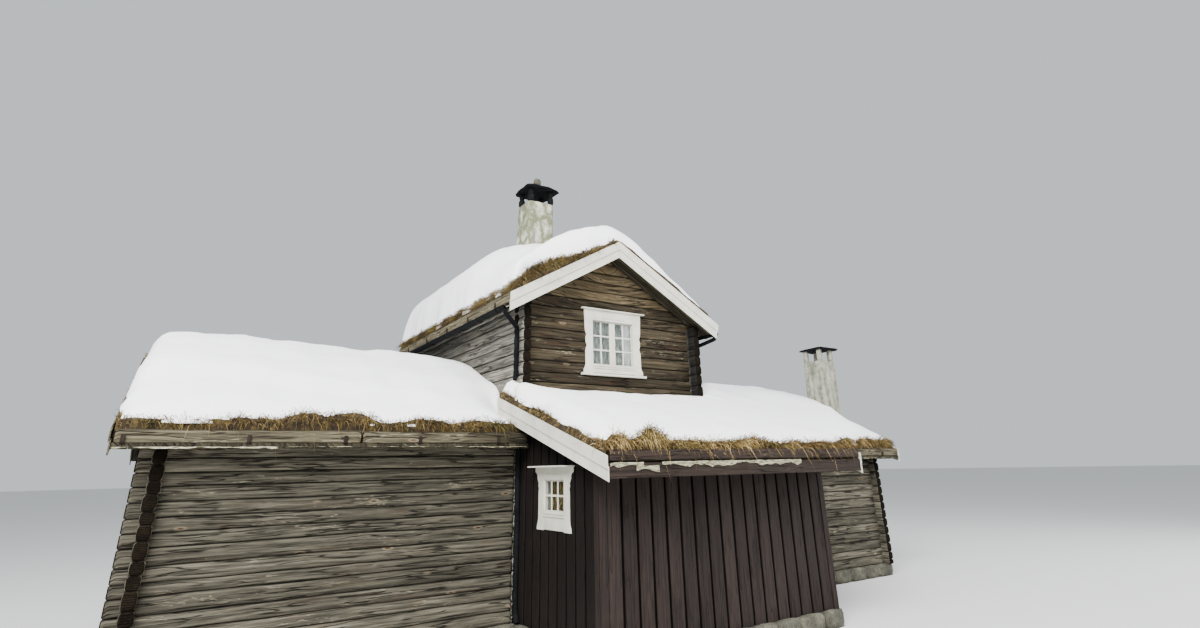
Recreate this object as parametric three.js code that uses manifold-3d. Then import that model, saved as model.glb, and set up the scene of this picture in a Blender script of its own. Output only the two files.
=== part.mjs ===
// Log cabin: a long one-storey log house whose middle part is raised to two storeys, with a
// board-clad lean-to annex in front of it, sod roofs held by squared logs, and snow on the roofs.
// Millimetres, +Z up. X runs along the front, Y from the front to the back.
// While the pieces are laid out, x = 0 is the left gable's outer face, y = 0 the log front wall's
// outer face and z = 0 the ground. The exported group is then shifted so that its origin lies
// under the middle of the whole house.

import * as THREE from 'three';
import { mergeVertices, mergeGeometries } from 'three/addons/utils/BufferGeometryUtils.js';
import Module from 'manifold-3d';

const wasm = await Module();
wasm.setup();

// Clearance between pieces that touch
const GAP = 0.3;

// Plan of the house
const HOUSE_DEPTH = 5600;
const MAIN_LEFT = 4700;
const MAIN_RIGHT = 8555;
const HOUSE_RIGHT = 13760;
const WALL = 150;
const STUB = 150;
const RIDGE_Y = HOUSE_DEPTH / 2;
const MAIN_RIDGE_X = 6550;

// Plan of the annex
const ANNEX_FRONT = -2255;
const ANNEX_LEFT = 4780;
const ANNEX_RIGHT = 9060;
const ANNEX_VERGE = 280;
const ANNEX_EAVE = -2860;
const ANNEX_BACK_LEFT = 300;
const ANNEX_TIP = 10;
const CHEEK = 30;

// Foundation, floors and log courses
const FOUNDATION_TOP = 230;
const FOUNDATION_OUT = 40;
const FOUNDATION_IN = 300;
const FLOOR = 50;
const LOFT_FLOOR_Z = 3050;
const WING_COURSE = 164;
const MAIN_COURSE = 190;
const SEAM_DEPTH = 24;
const LONG_FACE = [0.28, 0.72];
const WALL_BLANK_WING = 3300;
const WALL_BLANK_GABLE = 4200;
const WALL_BLANK_SIDE = 5200;
const WALL_BLANK_MAIN = 6200;
const WALL_BLANK_ANNEX = 3400;

// Log ends of the raised part, past its corners, and the first course that has them
const GABLE_ENDS_LEFT = 10;
const GABLE_ENDS_RIGHT = 160;
const SIDE_ENDS = 200;
const STUB_START_COURSE = 17;

// Reach of a cutting box past what it cuts
const PAST = 900;

// Roof layers, measured straight up
const DECK = 70;
const TURF = 200;
const MAIN_TURF = 250;
const TURF_LOG = 110;
const WING_LOG_HEIGHT = 150;
const MAIN_LOG_HEIGHT = 180;
const BARGE = 30;

// Each gable roof: the ends of the ridge, both eaves, the ridge and the deck's underside there
const LEFT_ROOF = {
    from: -400, to: MAIN_LEFT, low: -450, high: HOUSE_DEPTH + 450, ridge: RIDGE_Y,
    ridgeZ: 3871, pitch: 0.391,
};
const RIGHT_ROOF = {
    from: MAIN_RIGHT, to: HOUSE_RIGHT + 370, low: -450, high: HOUSE_DEPTH + 450, ridge: RIDGE_Y,
    ridgeZ: 3770, pitch: 0.434,
};
const MAIN_ROOF = {
    from: -370, to: HOUSE_DEPTH + 370, low: MAIN_LEFT - 340, high: MAIN_RIGHT + 230,
    ridge: MAIN_RIDGE_X, ridgeZ: 6030, pitch: 0.572,
};
const ANNEX_PITCH = 0.3096;
const ANNEX_EAVE_Z = 2235;
const ANNEX_TURF = 235;
const ANNEX_LOG = 80;
const ANNEX_LOG_HEIGHT = 200;
const ANNEX_FASCIA = 55;

// Bargeboards: depth below the deck's underside and height above it
const WING_BARGE = { below: 60, above: 210 };
const MAIN_BARGE = { below: 70, above: 240, past: 120, slant: 70 };
const ANNEX_BARGE = { below: 90, above: 210 };

// Snow thickness, measured straight up: at the low eave, on its slope, at the ridge, on the far
// slope and at the far eave. On the main roof it grows from the front to a drift at the back.
const LEFT_SNOW = { eave: 200, slope: 400, crest: 460, farSlope: 400, farEave: 200 };
const RIGHT_SNOW = { eave: 110, slope: 220, crest: 270, farSlope: 220, farEave: 110 };
const MAIN_SNOW = { eave: 400, slope: 620, crest: 600, farSlope: 360, farEave: 140 };
const MAIN_DRIFT = { eave: 800, slope: 1100, crest: 620, farSlope: 360, farEave: 120 };
const DRIFT_START = 1000;
const DRIFT_END = 2800;
const SNOW_ROUNDING = 240;
const SNOW_RIM = 0.12;
const SNOW_RIDGE = 450;
const SNOW_ACROSS = 14;
const SNOW_ALONG = 8;
const ANNEX_SNOW = { edge: 90, brow: 160, middle: 220, wall: 90 };
const SNOW_WALL_REACH = 150;
const SNOW_SWELL_REACH = 700;
const SNOW_BROW_Y = -2500;
const SNOW_FULL_Y = -1900;

// Chimneys
const MAIN_CHIMNEY = { x0: 5830, x1: 6450, y0: 1935, y1: 2500, stack: 7855, top: 8150 };
const RIGHT_CHIMNEY = { x0: 13050, x1: 13560, y0: 470, y1: 990, stack: 4650, top: 4925 };
const CAP_LEG = 110;
const LEG_JOINT = 10;

// Slate caps: how far they reach past the stack, the edge's thickness, and the hump's height and share
const MAIN_CAP = { overhang: 85, edge: 50, hump: 150, humpShare: 0.5, wobble: 0.06 };
const RIGHT_CAP = { overhang: 110, edge: 45, hump: 60, humpShare: 0.7, wobble: 0.03 };
const CAP_SIDES = 12;
const CAP_CORNER = 1.25;
const CAP_STONE = { radius: 90, height: 270, sunk: 60 };

// Windows: the trim's outside, the glass, and the depth of the casing in the wall
const UPPER_WINDOW = {
    x0: 5980, x1: 7270, z0: 3870, z1: 5030, gx0: 6180, gx1: 7050, gz0: 4030, gz1: 4810,
};
const ANNEX_WINDOW = {
    width: 985, z0: 1500, z1: 2345, glassWidth: 550, gz0: 1750, gz1: 2150, middle: -1117,
};
const TRIM = 32;
const CASING = 60;
const FRAME_DEPTH = 90;
const LEDGE = 30;
const SILL = { left: 50, right: 60, below: 45, above: 10 };
const HEAD = { left: 40, right: 60, below: 30 };
const PANE_BACK = 40;
const GLASS = 6;
const CURTAIN = 14;
const CURTAIN_PAST = 30;
const CURTAIN_SILL = 20;

// Door in the annex's right wall
const DOOR = { y0: -1560, y1: -660, top: 2060, thick: 50 };

// Gutters and pipes
const GUTTER_RADIUS = 60;
const GUTTER_SHEET = 6;
const GUTTER_LIFT = 10;
const GUTTER_STEPS = 6;
const PIPE_RADIUS = 38;
const PIPE_SIDES = 8;
const PIPE_STEPS = 14;
const PIPE_OFF_WALL = 8;
const PIPE_TOP_Y = -330;
const PIPE_FOOT_Z = 3700;
const PIPE_LEFT_Y = -45;
const PIPE_RIGHT_Y = 2 * WALL;
const PIPE_ROUND_CORNER = 245;
const PIPE_DROP = 50;
const PIPE_CORNER_DROP = 130;
const PIPE_WALL_DROP = 210;
const PIPE_BEND = 60;

// Shapes

// Closed prism: a profile of [y, z] points carried from x0 to x1
function prismX(points, x0, x1) {
    const geometry = extrude(points, x1 - x0);
    const turn = new THREE.Matrix4().set(0, 0, 1, x0, 1, 0, 0, 0, 0, 1, 0, 0, 0, 0, 0, 1);
    return geometry.applyMatrix4(turn);
}

// Closed prism: a profile of [x, z] points carried from y0 to y1
function prismY(points, y0, y1) {
    const geometry = extrude(points, y1 - y0);
    const turn = new THREE.Matrix4().set(1, 0, 0, 0, 0, 0, -1, y1, 0, 1, 0, 0, 0, 0, 0, 1);
    return geometry.applyMatrix4(turn);
}

// Closed prism: a plan of [x, y] points raised from z0 to z1
function prismZ(points, z0, z1) {
    return extrude(points, z1 - z0).translate(0, 0, z0);
}

function extrude(points, depth) {
    const shape = new THREE.Shape(points.map(([a, b]) => new THREE.Vector2(a, b)));
    return new THREE.ExtrudeGeometry(shape, { depth, bevelEnabled: false });
}

function box(x0, x1, y0, y1, z0, z1) {
    const geometry = new THREE.BoxGeometry(x1 - x0, y1 - y0, z1 - z0);
    return geometry.translate((x0 + x1) / 2, (y0 + y1) / 2, (z0 + z1) / 2);
}

// Booleans on closed geometries

function solid(geometry) {
    const bare = geometry.index ? geometry.toNonIndexed() : geometry.clone();
    bare.deleteAttribute('normal');
    bare.deleteAttribute('uv');
    const merged = mergeVertices(bare, 1e-3);
    return new wasm.Manifold(new wasm.Mesh({
        numProp: 3,
        vertProperties: new Float32Array(merged.attributes.position.array),
        triVerts: new Uint32Array(merged.index.array),
    }));
}

function toGeometry(manifold) {
    const mesh = manifold.getMesh();
    const geometry = new THREE.BufferGeometry();
    geometry.setAttribute('position', new THREE.BufferAttribute(mesh.vertProperties, 3));
    geometry.setIndex(new THREE.BufferAttribute(mesh.triVerts, 1));
    geometry.computeVertexNormals();
    return geometry;
}

function cut(geometry, ...tools) {
    let result = solid(geometry);
    for (const tool of tools) {
        result = result.subtract(solid(tool));
    }
    return toGeometry(result);
}

function join(first, ...others) {
    let result = solid(first);
    for (const other of others) {
        result = result.add(solid(other));
    }
    return toGeometry(result);
}

// Log walls

// Profile of stacked logs as [across, height] points: round outside, hewn flat inside.
// The first course may be a half one, so that crossing walls lie half a course apart.
function logStack(outer, inner, bottom, top, course, first) {
    const inward = Math.sign(inner - outer) * SEAM_DEPTH;
    const points = [[inner, bottom], [outer + inward, bottom]];
    let start = bottom - (course - first);
    while (start < top) {
        for (const share of LONG_FACE) {
            const height = start + share * course;
            if (height > bottom && height < top) {
                points.push([outer, height]);
            }
        }
        start += course;
        if (start < top) {
            points.push([outer + inward, start]);
        }
    }
    points.push([outer, top], [inner, top]);
    return inward > 0 ? points.reverse() : points;
}

// Boxes over the seams of one wall where another wall's logs cross it
function notches(x0, x1, y0, y1, bottom, top, course, first) {
    const boxes = [];
    const half = course / 4 + GAP / 2;
    for (let seam = bottom - (course - first); seam < top + course; seam += course) {
        boxes.push(box(x0 - GAP, x1 + GAP, y0 - GAP, y1 + GAP, seam - half, seam + half));
    }
    return mergeGeometries(boxes);
}

// Roofs

const HIGH = 9500;

// Height of a gable roof's deck underside at a distance across the ridge
function deckZ(roof, across) {
    return roof.ridgeZ - roof.pitch * Math.abs(across - roof.ridge);
}

function annexDeckZ(y) {
    return ANNEX_EAVE_Z + ANNEX_PITCH * (y - ANNEX_EAVE);
}

// Profile of one roof layer between two heights over the deck's underside
function gableLayer(roof, lower, upper, inset = 0) {
    const low = roof.low + inset;
    const high = roof.high - inset;
    return [
        [low, deckZ(roof, low) + lower],
        [roof.ridge, deckZ(roof, roof.ridge) + lower],
        [high, deckZ(roof, high) + lower],
        [high, deckZ(roof, high) + upper],
        [roof.ridge, deckZ(roof, roof.ridge) + upper],
        [low, deckZ(roof, low) + upper],
    ];
}

// Everything above a gable roof's deck underside
function aboveGable(roof) {
    return [
        [roof.low - PAST, deckZ(roof, roof.low - PAST) - GAP],
        [roof.ridge, deckZ(roof, roof.ridge) - GAP],
        [roof.high + PAST, deckZ(roof, roof.high + PAST) - GAP],
        [roof.high + PAST, HIGH],
        [roof.low - PAST, HIGH],
    ];
}

// Snow thickness across a gable roof, from one eave over the ridge to the other
function snowThickness(roof, snow, across) {
    const low = roof.low + TURF_LOG;
    const high = roof.high - TURF_LOG;
    if (across < roof.ridge) {
        const up = (across - low) / (roof.ridge - low);
        return between(up, snow.eave, snow.slope, snow.crest);
    }
    return between((high - across) / (high - roof.ridge), snow.farEave, snow.farSlope, snow.crest);
}

// Value at a share of the way from start through middle to end
function between(share, start, middle, end) {
    if (share < 0.5) {
        return THREE.MathUtils.lerp(start, middle, Math.sin(Math.PI * Math.max(0, share)));
    }
    return THREE.MathUtils.lerp(middle, end, 2 * share - 1);
}

// Quarter round that brings the blanket down to its rim
function rimLift(distance) {
    const share = Math.min(1, SNOW_RIM + distance / SNOW_ROUNDING);
    return Math.sqrt(1 - (1 - share) ** 2);
}

// Snow blanket on a gable roof as a closed body: a grid of heights over the turf, rounded off
// along its rim, over a grid that lies on the turf. The ridge runs along 'x' or 'y'.
function snowBlanket(roof, thickness, turfTop, axis) {
    const point = (s, t, z) => (axis === 'x' ? [s, t, z] : [t, s, z]);
    const low = roof.low + TURF_LOG + GAP;
    const high = roof.high - TURF_LOG - GAP;
    const across = stations(low, high, SNOW_ACROSS, roof.ridge);
    const along = stations(roof.from + GAP, roof.to - GAP, SNOW_ALONG);
    const top = [];
    const bottom = [];
    for (const s of along) {
        for (const t of across) {
            const base = deckZ(roof, t) + turfTop;
            const off = Math.abs(t - roof.ridge);
            const rounded = base - roof.pitch * (Math.hypot(off, SNOW_RIDGE) - off);
            const rim = Math.min(s - along[0], along[along.length - 1] - s, t - low, high - t);
            const crown = THREE.MathUtils.lerp(base, rounded, rimLift(rim));
            top.push(...point(s, t, crown + thickness(s, t) * rimLift(rim)));
            bottom.push(...point(s, t, base + GAP));
        }
    }
    return closedGrid(top, bottom, along.length, across.length, axis === 'y');
}

// Places from one rim to the other, closer together at the rims, with one at a given place
function stations(from, to, count, exact = null) {
    const places = [from, from + SNOW_ROUNDING / 3, to - SNOW_ROUNDING / 3, to];
    const first = from + SNOW_ROUNDING;
    const last = to - SNOW_ROUNDING;
    for (let i = 0; i <= count; i += 1) {
        places.push(first + ((last - first) * i) / count);
    }
    if (exact !== null) {
        places.push(exact);
    }
    return places.sort((a, b) => a - b);
}

// Closed body between two grids of n by m vertices, wound the other way if mirrored
function closedGrid(top, bottom, n, m, mirrored) {
    const faces = [];
    const quad = (a, b, c, d) => (mirrored ? faces.push(a, c, b, a, d, c) : faces.push(a, b, c, a, c, d));
    const under = n * m;
    for (let i = 0; i < n - 1; i += 1) {
        for (let j = 0; j < m - 1; j += 1) {
            const a = i * m + j;
            quad(a, a + m, a + m + 1, a + 1);
            quad(under + a, under + a + 1, under + a + m + 1, under + a + m);
        }
    }
    for (let i = 0; i < n - 1; i += 1) {
        const a = i * m;
        const b = a + m - 1;
        quad(a, under + a, under + a + m, a + m);
        quad(b, b + m, under + b + m, under + b);
    }
    for (let j = 0; j < m - 1; j += 1) {
        const a = j;
        const b = (n - 1) * m + j;
        quad(a, a + 1, under + a + 1, under + a);
        quad(b, under + b, under + b + 1, b + 1);
    }
    const geometry = new THREE.BufferGeometry();
    geometry.setAttribute('position', new THREE.Float32BufferAttribute([...top, ...bottom], 3));
    geometry.setIndex(faces);
    return geometry;
}

// Scene

const group = new THREE.Group();
const house = new THREE.Group();
group.add(house);

const LOGS_GREY = new THREE.MeshStandardMaterial({ color: 0x6b635a, roughness: 0.9, metalness: 0 });
const LOGS_BROWN = new THREE.MeshStandardMaterial({ color: 0x4f3d2e, roughness: 0.9, metalness: 0 });
const CLADDING = new THREE.MeshStandardMaterial({ color: 0x2a211d, roughness: 0.85, metalness: 0 });
const BOARDS = new THREE.MeshStandardMaterial({ color: 0x7d746a, roughness: 0.9, metalness: 0 });
const TURF_SOD = new THREE.MeshStandardMaterial({ color: 0x6f5a2e, roughness: 1, metalness: 0 });
const SNOW = new THREE.MeshStandardMaterial({ color: 0xf4f6f8, roughness: 0.8, metalness: 0 });
const WHITE_PAINT = new THREE.MeshStandardMaterial({ color: 0xe6e5e0, roughness: 0.6, metalness: 0 });
const STONE = new THREE.MeshStandardMaterial({ color: 0x77756f, roughness: 0.95, metalness: 0 });
const LIMEWASH = new THREE.MeshStandardMaterial({ color: 0xc9c8bf, roughness: 0.9, metalness: 0 });
const SLATE = new THREE.MeshStandardMaterial({ color: 0x2b2b2c, roughness: 0.8, metalness: 0 });
const GLASS_PANE = new THREE.MeshStandardMaterial({ color: 0x9fb0b4, roughness: 0.05, metalness: 0 });
const LACE = new THREE.MeshStandardMaterial({ color: 0xe9e6df, roughness: 0.9, metalness: 0 });
const BLACK_TIN = new THREE.MeshStandardMaterial({ color: 0x1d1e20, roughness: 0.5, metalness: 0.6 });

function piece(name, geometry, material, parent = house) {
    const mesh = new THREE.Mesh(geometry, material.clone());
    mesh.name = name;
    parent.add(mesh);
    return mesh;
}

// Ground level

function addFoundation() {
    const out = FOUNDATION_OUT;
    const inn = FOUNDATION_IN;
    const outline = [
        [-out, -out], [ANNEX_LEFT - out, -out], [ANNEX_LEFT - out, ANNEX_FRONT - out],
        [ANNEX_RIGHT + out, ANNEX_FRONT - out], [ANNEX_RIGHT + out, -out],
        [HOUSE_RIGHT + out, -out], [HOUSE_RIGHT + out, HOUSE_DEPTH + out],
        [-out, HOUSE_DEPTH + out],
    ];
    const halfShare = (inn - WALL) / 2;
    const room = (x0, x1, y0, y1) => box(x0, x1, y0, y1, -PAST, PAST);
    const footing = cut(
        prismZ(outline, 0, FOUNDATION_TOP - GAP),
        room(inn, MAIN_LEFT - halfShare, inn, HOUSE_DEPTH - inn),
        room(MAIN_LEFT + WALL + halfShare, MAIN_RIGHT - WALL - halfShare, inn, HOUSE_DEPTH - inn),
        room(MAIN_RIGHT + halfShare, HOUSE_RIGHT - inn, inn, HOUSE_DEPTH - inn),
        room(ANNEX_LEFT + inn, ANNEX_RIGHT - inn, ANNEX_FRONT + inn, -halfShare),
        chimneyHole(RIGHT_CHIMNEY, -PAST, PAST),
    );
    piece('stone_foundation', footing, STONE);
}

function chimneyHole(chimney, z0, z1) {
    return box(chimney.x0 - GAP, chimney.x1 + GAP, chimney.y0 - GAP, chimney.y1 + GAP, z0, z1);
}

function addFloors() {
    const z0 = FOUNDATION_TOP;
    const z1 = FOUNDATION_TOP + FLOOR;
    const back = HOUSE_DEPTH - WALL - GAP;
    const front = WALL + GAP;
    const left = box(WALL + GAP, MAIN_LEFT - GAP, front, back, z0, z1);
    const main = box(MAIN_LEFT + WALL + GAP, MAIN_RIGHT - WALL - GAP, front, back, z0, z1);
    const right = box(MAIN_RIGHT + GAP, HOUSE_RIGHT - WALL - GAP, front, back, z0, z1);
    const annex = box(ANNEX_LEFT + WALL + GAP, ANNEX_RIGHT - WALL - GAP,
        ANNEX_FRONT + WALL + GAP, -GAP, z0, z1);
    const loft = box(MAIN_LEFT + WALL + GAP, MAIN_RIGHT - WALL - GAP, front, back,
        LOFT_FLOOR_Z, LOFT_FLOOR_Z + FLOOR);
    piece('left_wing_floor', left, BOARDS);
    piece('main_floor', cut(main, chimneyHole(MAIN_CHIMNEY, 0, HIGH)), BOARDS);
    piece('right_wing_floor', cut(right, chimneyHole(RIGHT_CHIMNEY, 0, HIGH)), BOARDS);
    piece('annex_floor', annex, BOARDS);
    piece('loft_floor', cut(loft, chimneyHole(MAIN_CHIMNEY, 0, HIGH)), BOARDS);
}

// Walls of the two wings

// A wing wall along X, with log ends past one gable and notches where the gable's logs cross
function wingLongWall(x0, x1, outer, inner, gable, roofCuts) {
    const profile = logStack(outer, inner, FOUNDATION_TOP, WALL_BLANK_WING, WING_COURSE,
        WING_COURSE);
    const low = Math.min(outer, inner);
    const high = Math.max(outer, inner);
    const crossing = notches(gable, gable + WALL, low, high, FOUNDATION_TOP, WALL_BLANK_WING,
        WING_COURSE, WING_COURSE);
    return cut(prismX(profile, x0, x1), crossing, ...roofCuts);
}

// A wing gable along Y, with log ends past both long walls
function wingGable(outer, inner, roof) {
    const first = WING_COURSE / 2;
    const profile = logStack(outer, inner, FOUNDATION_TOP, WALL_BLANK_GABLE, WING_COURSE, first);
    const low = Math.min(outer, inner);
    const high = Math.max(outer, inner);
    const wall = prismY(profile, -STUB, HOUSE_DEPTH + STUB);
    const front = notches(low, high, 0, WALL, FOUNDATION_TOP, WALL_BLANK_WING, WING_COURSE, first);
    const back = notches(low, high, HOUSE_DEPTH - WALL, HOUSE_DEPTH, FOUNDATION_TOP,
        WALL_BLANK_WING, WING_COURSE, first);
    return cut(wall, front, back, prismX(aboveGable(roof), low - PAST, high + PAST));
}

function addWings() {
    const leftAbove = prismX(aboveGable(LEFT_ROOF), -PAST, MAIN_LEFT + PAST);
    const annexEdge = ANNEX_RIGHT + ANNEX_VERGE;
    const rightAbove = prismX(aboveGable(RIGHT_ROOF), annexEdge - CHEEK - GAP, HOUSE_RIGHT + PAST);
    const stripAbove = prismX(aboveAnnex(), MAIN_RIGHT - PAST, annexEdge);
    const backAbove = prismX(aboveGable(RIGHT_ROOF), MAIN_RIGHT - PAST, HOUSE_RIGHT + PAST);
    const back = HOUSE_DEPTH;
    piece('left_wing_front_wall',
        wingLongWall(-STUB, MAIN_LEFT - GAP, 0, WALL, 0, [leftAbove]), LOGS_GREY);
    piece('left_wing_back_wall',
        wingLongWall(-STUB, MAIN_LEFT - GAP, back, back - WALL, 0, [leftAbove]), LOGS_GREY);
    piece('left_wing_gable_wall', wingGable(0, WALL, LEFT_ROOF), LOGS_GREY);
    const rightGable = HOUSE_RIGHT - WALL;
    piece('right_wing_front_wall', wingLongWall(MAIN_RIGHT + GAP, HOUSE_RIGHT + STUB, 0, WALL,
        rightGable, [rightAbove, stripAbove]), LOGS_GREY);
    piece('right_wing_back_wall', wingLongWall(MAIN_RIGHT + GAP, HOUSE_RIGHT + STUB, back,
        back - WALL, rightGable, [backAbove]), LOGS_GREY);
    piece('right_wing_gable_wall', wingGable(HOUSE_RIGHT, rightGable, RIGHT_ROOF), LOGS_GREY);
}

// Walls of the raised middle part

// Below the annex and wing roofs the corners are plain; above them the log ends show.
const STUB_START = FOUNDATION_TOP + STUB_START_COURSE * MAIN_COURSE;

function mainGable(outer, inner) {
    const low = Math.min(outer, inner);
    const high = Math.max(outer, inner);
    const profile = logStack(outer, inner, FOUNDATION_TOP, WALL_BLANK_MAIN, MAIN_COURSE, MAIN_COURSE);
    const wall = prismX(profile, MAIN_LEFT - GABLE_ENDS_LEFT, MAIN_RIGHT + GABLE_ENDS_RIGHT);
    const plainCorner = (x0, x1) => box(x0, x1, low - 1, high + 1, 0, STUB_START);
    const crossing = (x0, x1) => notches(x0, x1, low, high, FOUNDATION_TOP, WALL_BLANK_SIDE,
        MAIN_COURSE, MAIN_COURSE);
    return cut(
        wall,
        plainCorner(MAIN_LEFT - PAST, MAIN_LEFT + WALL + GAP),
        plainCorner(MAIN_RIGHT - WALL - GAP, MAIN_RIGHT + PAST),
        crossing(MAIN_LEFT, MAIN_LEFT + WALL),
        crossing(MAIN_RIGHT - WALL, MAIN_RIGHT),
        prismY(aboveGable(MAIN_ROOF), low - PAST, high + PAST),
    );
}

function mainSide(outer, inner) {
    const low = Math.min(outer, inner);
    const high = Math.max(outer, inner);
    const first = MAIN_COURSE / 2;
    const profile = logStack(outer, inner, FOUNDATION_TOP, WALL_BLANK_SIDE, MAIN_COURSE, first);
    const wall = prismY(profile, -SIDE_ENDS, HOUSE_DEPTH + SIDE_ENDS);
    const plainEnd = (y0, y1) => box(low - 1, high + 1, y0, y1, 0, STUB_START);
    const crossing = (y) => cut(
        notches(low, high, y, y + WALL, FOUNDATION_TOP, WALL_BLANK_SIDE, MAIN_COURSE, first),
        box(low - PAST, high + PAST, y - PAST, y + PAST, 0, STUB_START),
    );
    return cut(
        wall,
        plainEnd(-PAST, 0),
        plainEnd(HOUSE_DEPTH, HOUSE_DEPTH + PAST),
        crossing(0),
        crossing(HOUSE_DEPTH - WALL),
        prismY(aboveGable(MAIN_ROOF), -PAST, HOUSE_DEPTH + PAST),
    );
}

// Space of the log ends at the raised part's front corners, which the annex's turf and snow keep clear of
function frontLogEnds() {
    const y0 = -SIDE_ENDS - GAP;
    const y1 = WALL + GAP;
    const z0 = STUB_START - GAP;
    return [
        box(MAIN_LEFT - GABLE_ENDS_LEFT - GAP, MAIN_LEFT + WALL + GAP, y0, y1, z0, HIGH),
        box(MAIN_RIGHT - WALL - GAP, MAIN_RIGHT + GABLE_ENDS_RIGHT + GAP, y0, y1, z0, HIGH),
    ];
}

function windowHole(y0, y1) {
    const w = UPPER_WINDOW;
    return box(w.gx0 - CASING, w.gx1 + CASING, y0, y1, w.gz0 - CASING, w.gz1 + CASING);
}

function addMainWalls() {
    const back = HOUSE_DEPTH;
    piece('main_front_wall', cut(mainGable(0, WALL), windowHole(-PAST, PAST)), LOGS_BROWN);
    piece('main_back_wall',
        cut(mainGable(back, back - WALL), windowHole(back - PAST, back + PAST)), LOGS_BROWN);
    piece('main_left_wall', mainSide(MAIN_LEFT, MAIN_LEFT + WALL), LOGS_GREY);
    piece('main_right_wall', mainSide(MAIN_RIGHT, MAIN_RIGHT - WALL), LOGS_GREY);
}

// Annex

function aboveAnnex() {
    const y0 = ANNEX_EAVE - PAST;
    const y1 = RIDGE_Y + PAST;
    return [[y0, annexDeckZ(y0) - GAP], [y1, annexDeckZ(y1) - GAP], [y1, HIGH], [y0, HIGH]];
}

function addAnnexWalls() {
    const above = prismX(aboveAnnex(), ANNEX_LEFT - PAST, ANNEX_RIGHT + PAST);
    const z0 = FOUNDATION_TOP;
    const z1 = WALL_BLANK_ANNEX;
    const w = ANNEX_WINDOW;
    const half = w.glassWidth / 2 + CASING;
    const inside = ANNEX_FRONT + WALL + GAP;
    const front = box(ANNEX_LEFT, ANNEX_RIGHT, ANNEX_FRONT, ANNEX_FRONT + WALL, z0, z1);
    const left = box(ANNEX_LEFT, ANNEX_LEFT + WALL, inside, -GAP, z0, z1);
    const right = box(ANNEX_RIGHT - WALL, ANNEX_RIGHT, inside, -GAP, z0, z1);
    const hole = box(ANNEX_LEFT - PAST, ANNEX_LEFT + PAST, w.middle - half, w.middle + half,
        w.gz0 - CASING, w.gz1 + CASING);
    const doorway = box(ANNEX_RIGHT - PAST, ANNEX_RIGHT + PAST, DOOR.y0 - GAP, DOOR.y1 + GAP,
        0, DOOR.top + GAP);
    piece('annex_front_wall', cut(front, above), CLADDING);
    piece('annex_left_wall', cut(left, above, hole), CLADDING);
    piece('annex_right_wall', cut(right, above, doorway), CLADDING);
    const leaf = box(ANNEX_RIGHT - DOOR.thick, ANNEX_RIGHT, DOOR.y0, DOOR.y1,
        FOUNDATION_TOP, DOOR.top);
    piece('annex_door', leaf, CLADDING);
}

// Roofs

function addLeftRoof() {
    const roof = LEFT_ROOF;
    const turfTop = DECK + TURF;
    const annexClear = prismX([
        [ANNEX_EAVE, annexDeckZ(ANNEX_EAVE) - ANNEX_BARGE.below - 2 * GAP],
        [ANNEX_BACK_LEFT + GAP, annexDeckZ(ANNEX_BACK_LEFT + GAP) - ANNEX_BARGE.below - 2 * GAP],
        [ANNEX_BACK_LEFT + GAP, HIGH],
        [ANNEX_EAVE, HIGH],
    ], ANNEX_LEFT - ANNEX_VERGE - GAP, MAIN_LEFT + PAST);
    piece('left_wing_roof_boards',
        prismX(gableLayer(roof, 0, DECK), roof.from, roof.to - GAP), BOARDS);
    piece('left_wing_turf', cut(prismX(gableLayer(roof, DECK + GAP, turfTop, TURF_LOG + GAP),
        roof.from, roof.to - GAP), annexClear), TURF_SOD);
    const snow = snowBlanket(roof, (s, t) => snowThickness(roof, LEFT_SNOW, t), turfTop, 'x');
    piece('left_wing_snow', cut(snow, annexClear), SNOW);
    const cheek = gableLayer(roof, -WING_BARGE.below, WING_BARGE.above);
    piece('left_wing_bargeboards', prismX(cheek, roof.from - BARGE, roof.from - GAP), BOARDS);
    addTurfLogs('left_wing', roof, roof.from);
}

// Squared logs that hold the turf, lying on the deck along both eaves
function addTurfLogs(name, roof, x0, frontCut = null) {
    for (const [end, eave, inward] of [['front', roof.low, 1], ['back', roof.high, -1]]) {
        const inner = eave + inward * TURF_LOG;
        const section = [
            [eave, deckZ(roof, eave) + DECK + GAP],
            [inner, deckZ(roof, inner) + DECK + GAP],
            [inner, deckZ(roof, inner) + DECK + WING_LOG_HEIGHT],
            [eave, deckZ(roof, eave) + DECK + WING_LOG_HEIGHT],
        ];
        const log = prismX(inward > 0 ? section : section.reverse(), x0, roof.to - GAP);
        const trimmed = frontCut && end === 'front' ? cut(log, frontCut) : log;
        piece(`${name}_${end}_turf_log`, trimmed, BOARDS);
    }
}

function addRightRoof() {
    const roof = RIGHT_ROOF;
    const turfTop = DECK + TURF;
    const edge = ANNEX_RIGHT + ANNEX_VERGE + GAP;
    const strip = box(MAIN_RIGHT - PAST, edge, roof.low - PAST, RIDGE_Y + GAP, 0, HIGH);
    const start = roof.from + GAP;
    const hole = chimneyHole(RIGHT_CHIMNEY, 0, HIGH);
    piece('right_wing_roof_boards',
        cut(prismX(gableLayer(roof, 0, DECK), start, roof.to), strip, hole), BOARDS);
    piece('right_wing_turf', cut(prismX(gableLayer(roof, DECK + GAP, turfTop, TURF_LOG + GAP),
        start, roof.to), strip, hole), TURF_SOD);
    const snow = snowBlanket(roof, (s, t) => snowThickness(roof, RIGHT_SNOW, t), turfTop, 'x');
    piece('right_wing_snow', cut(snow, strip, hole), SNOW);
    const cheek = gableLayer(roof, -WING_BARGE.below, WING_BARGE.above);
    piece('right_wing_bargeboards', prismX(cheek, roof.to + GAP, roof.to + BARGE), BOARDS);
    addTurfLogs('right_wing', roof, start, strip);
}

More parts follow.
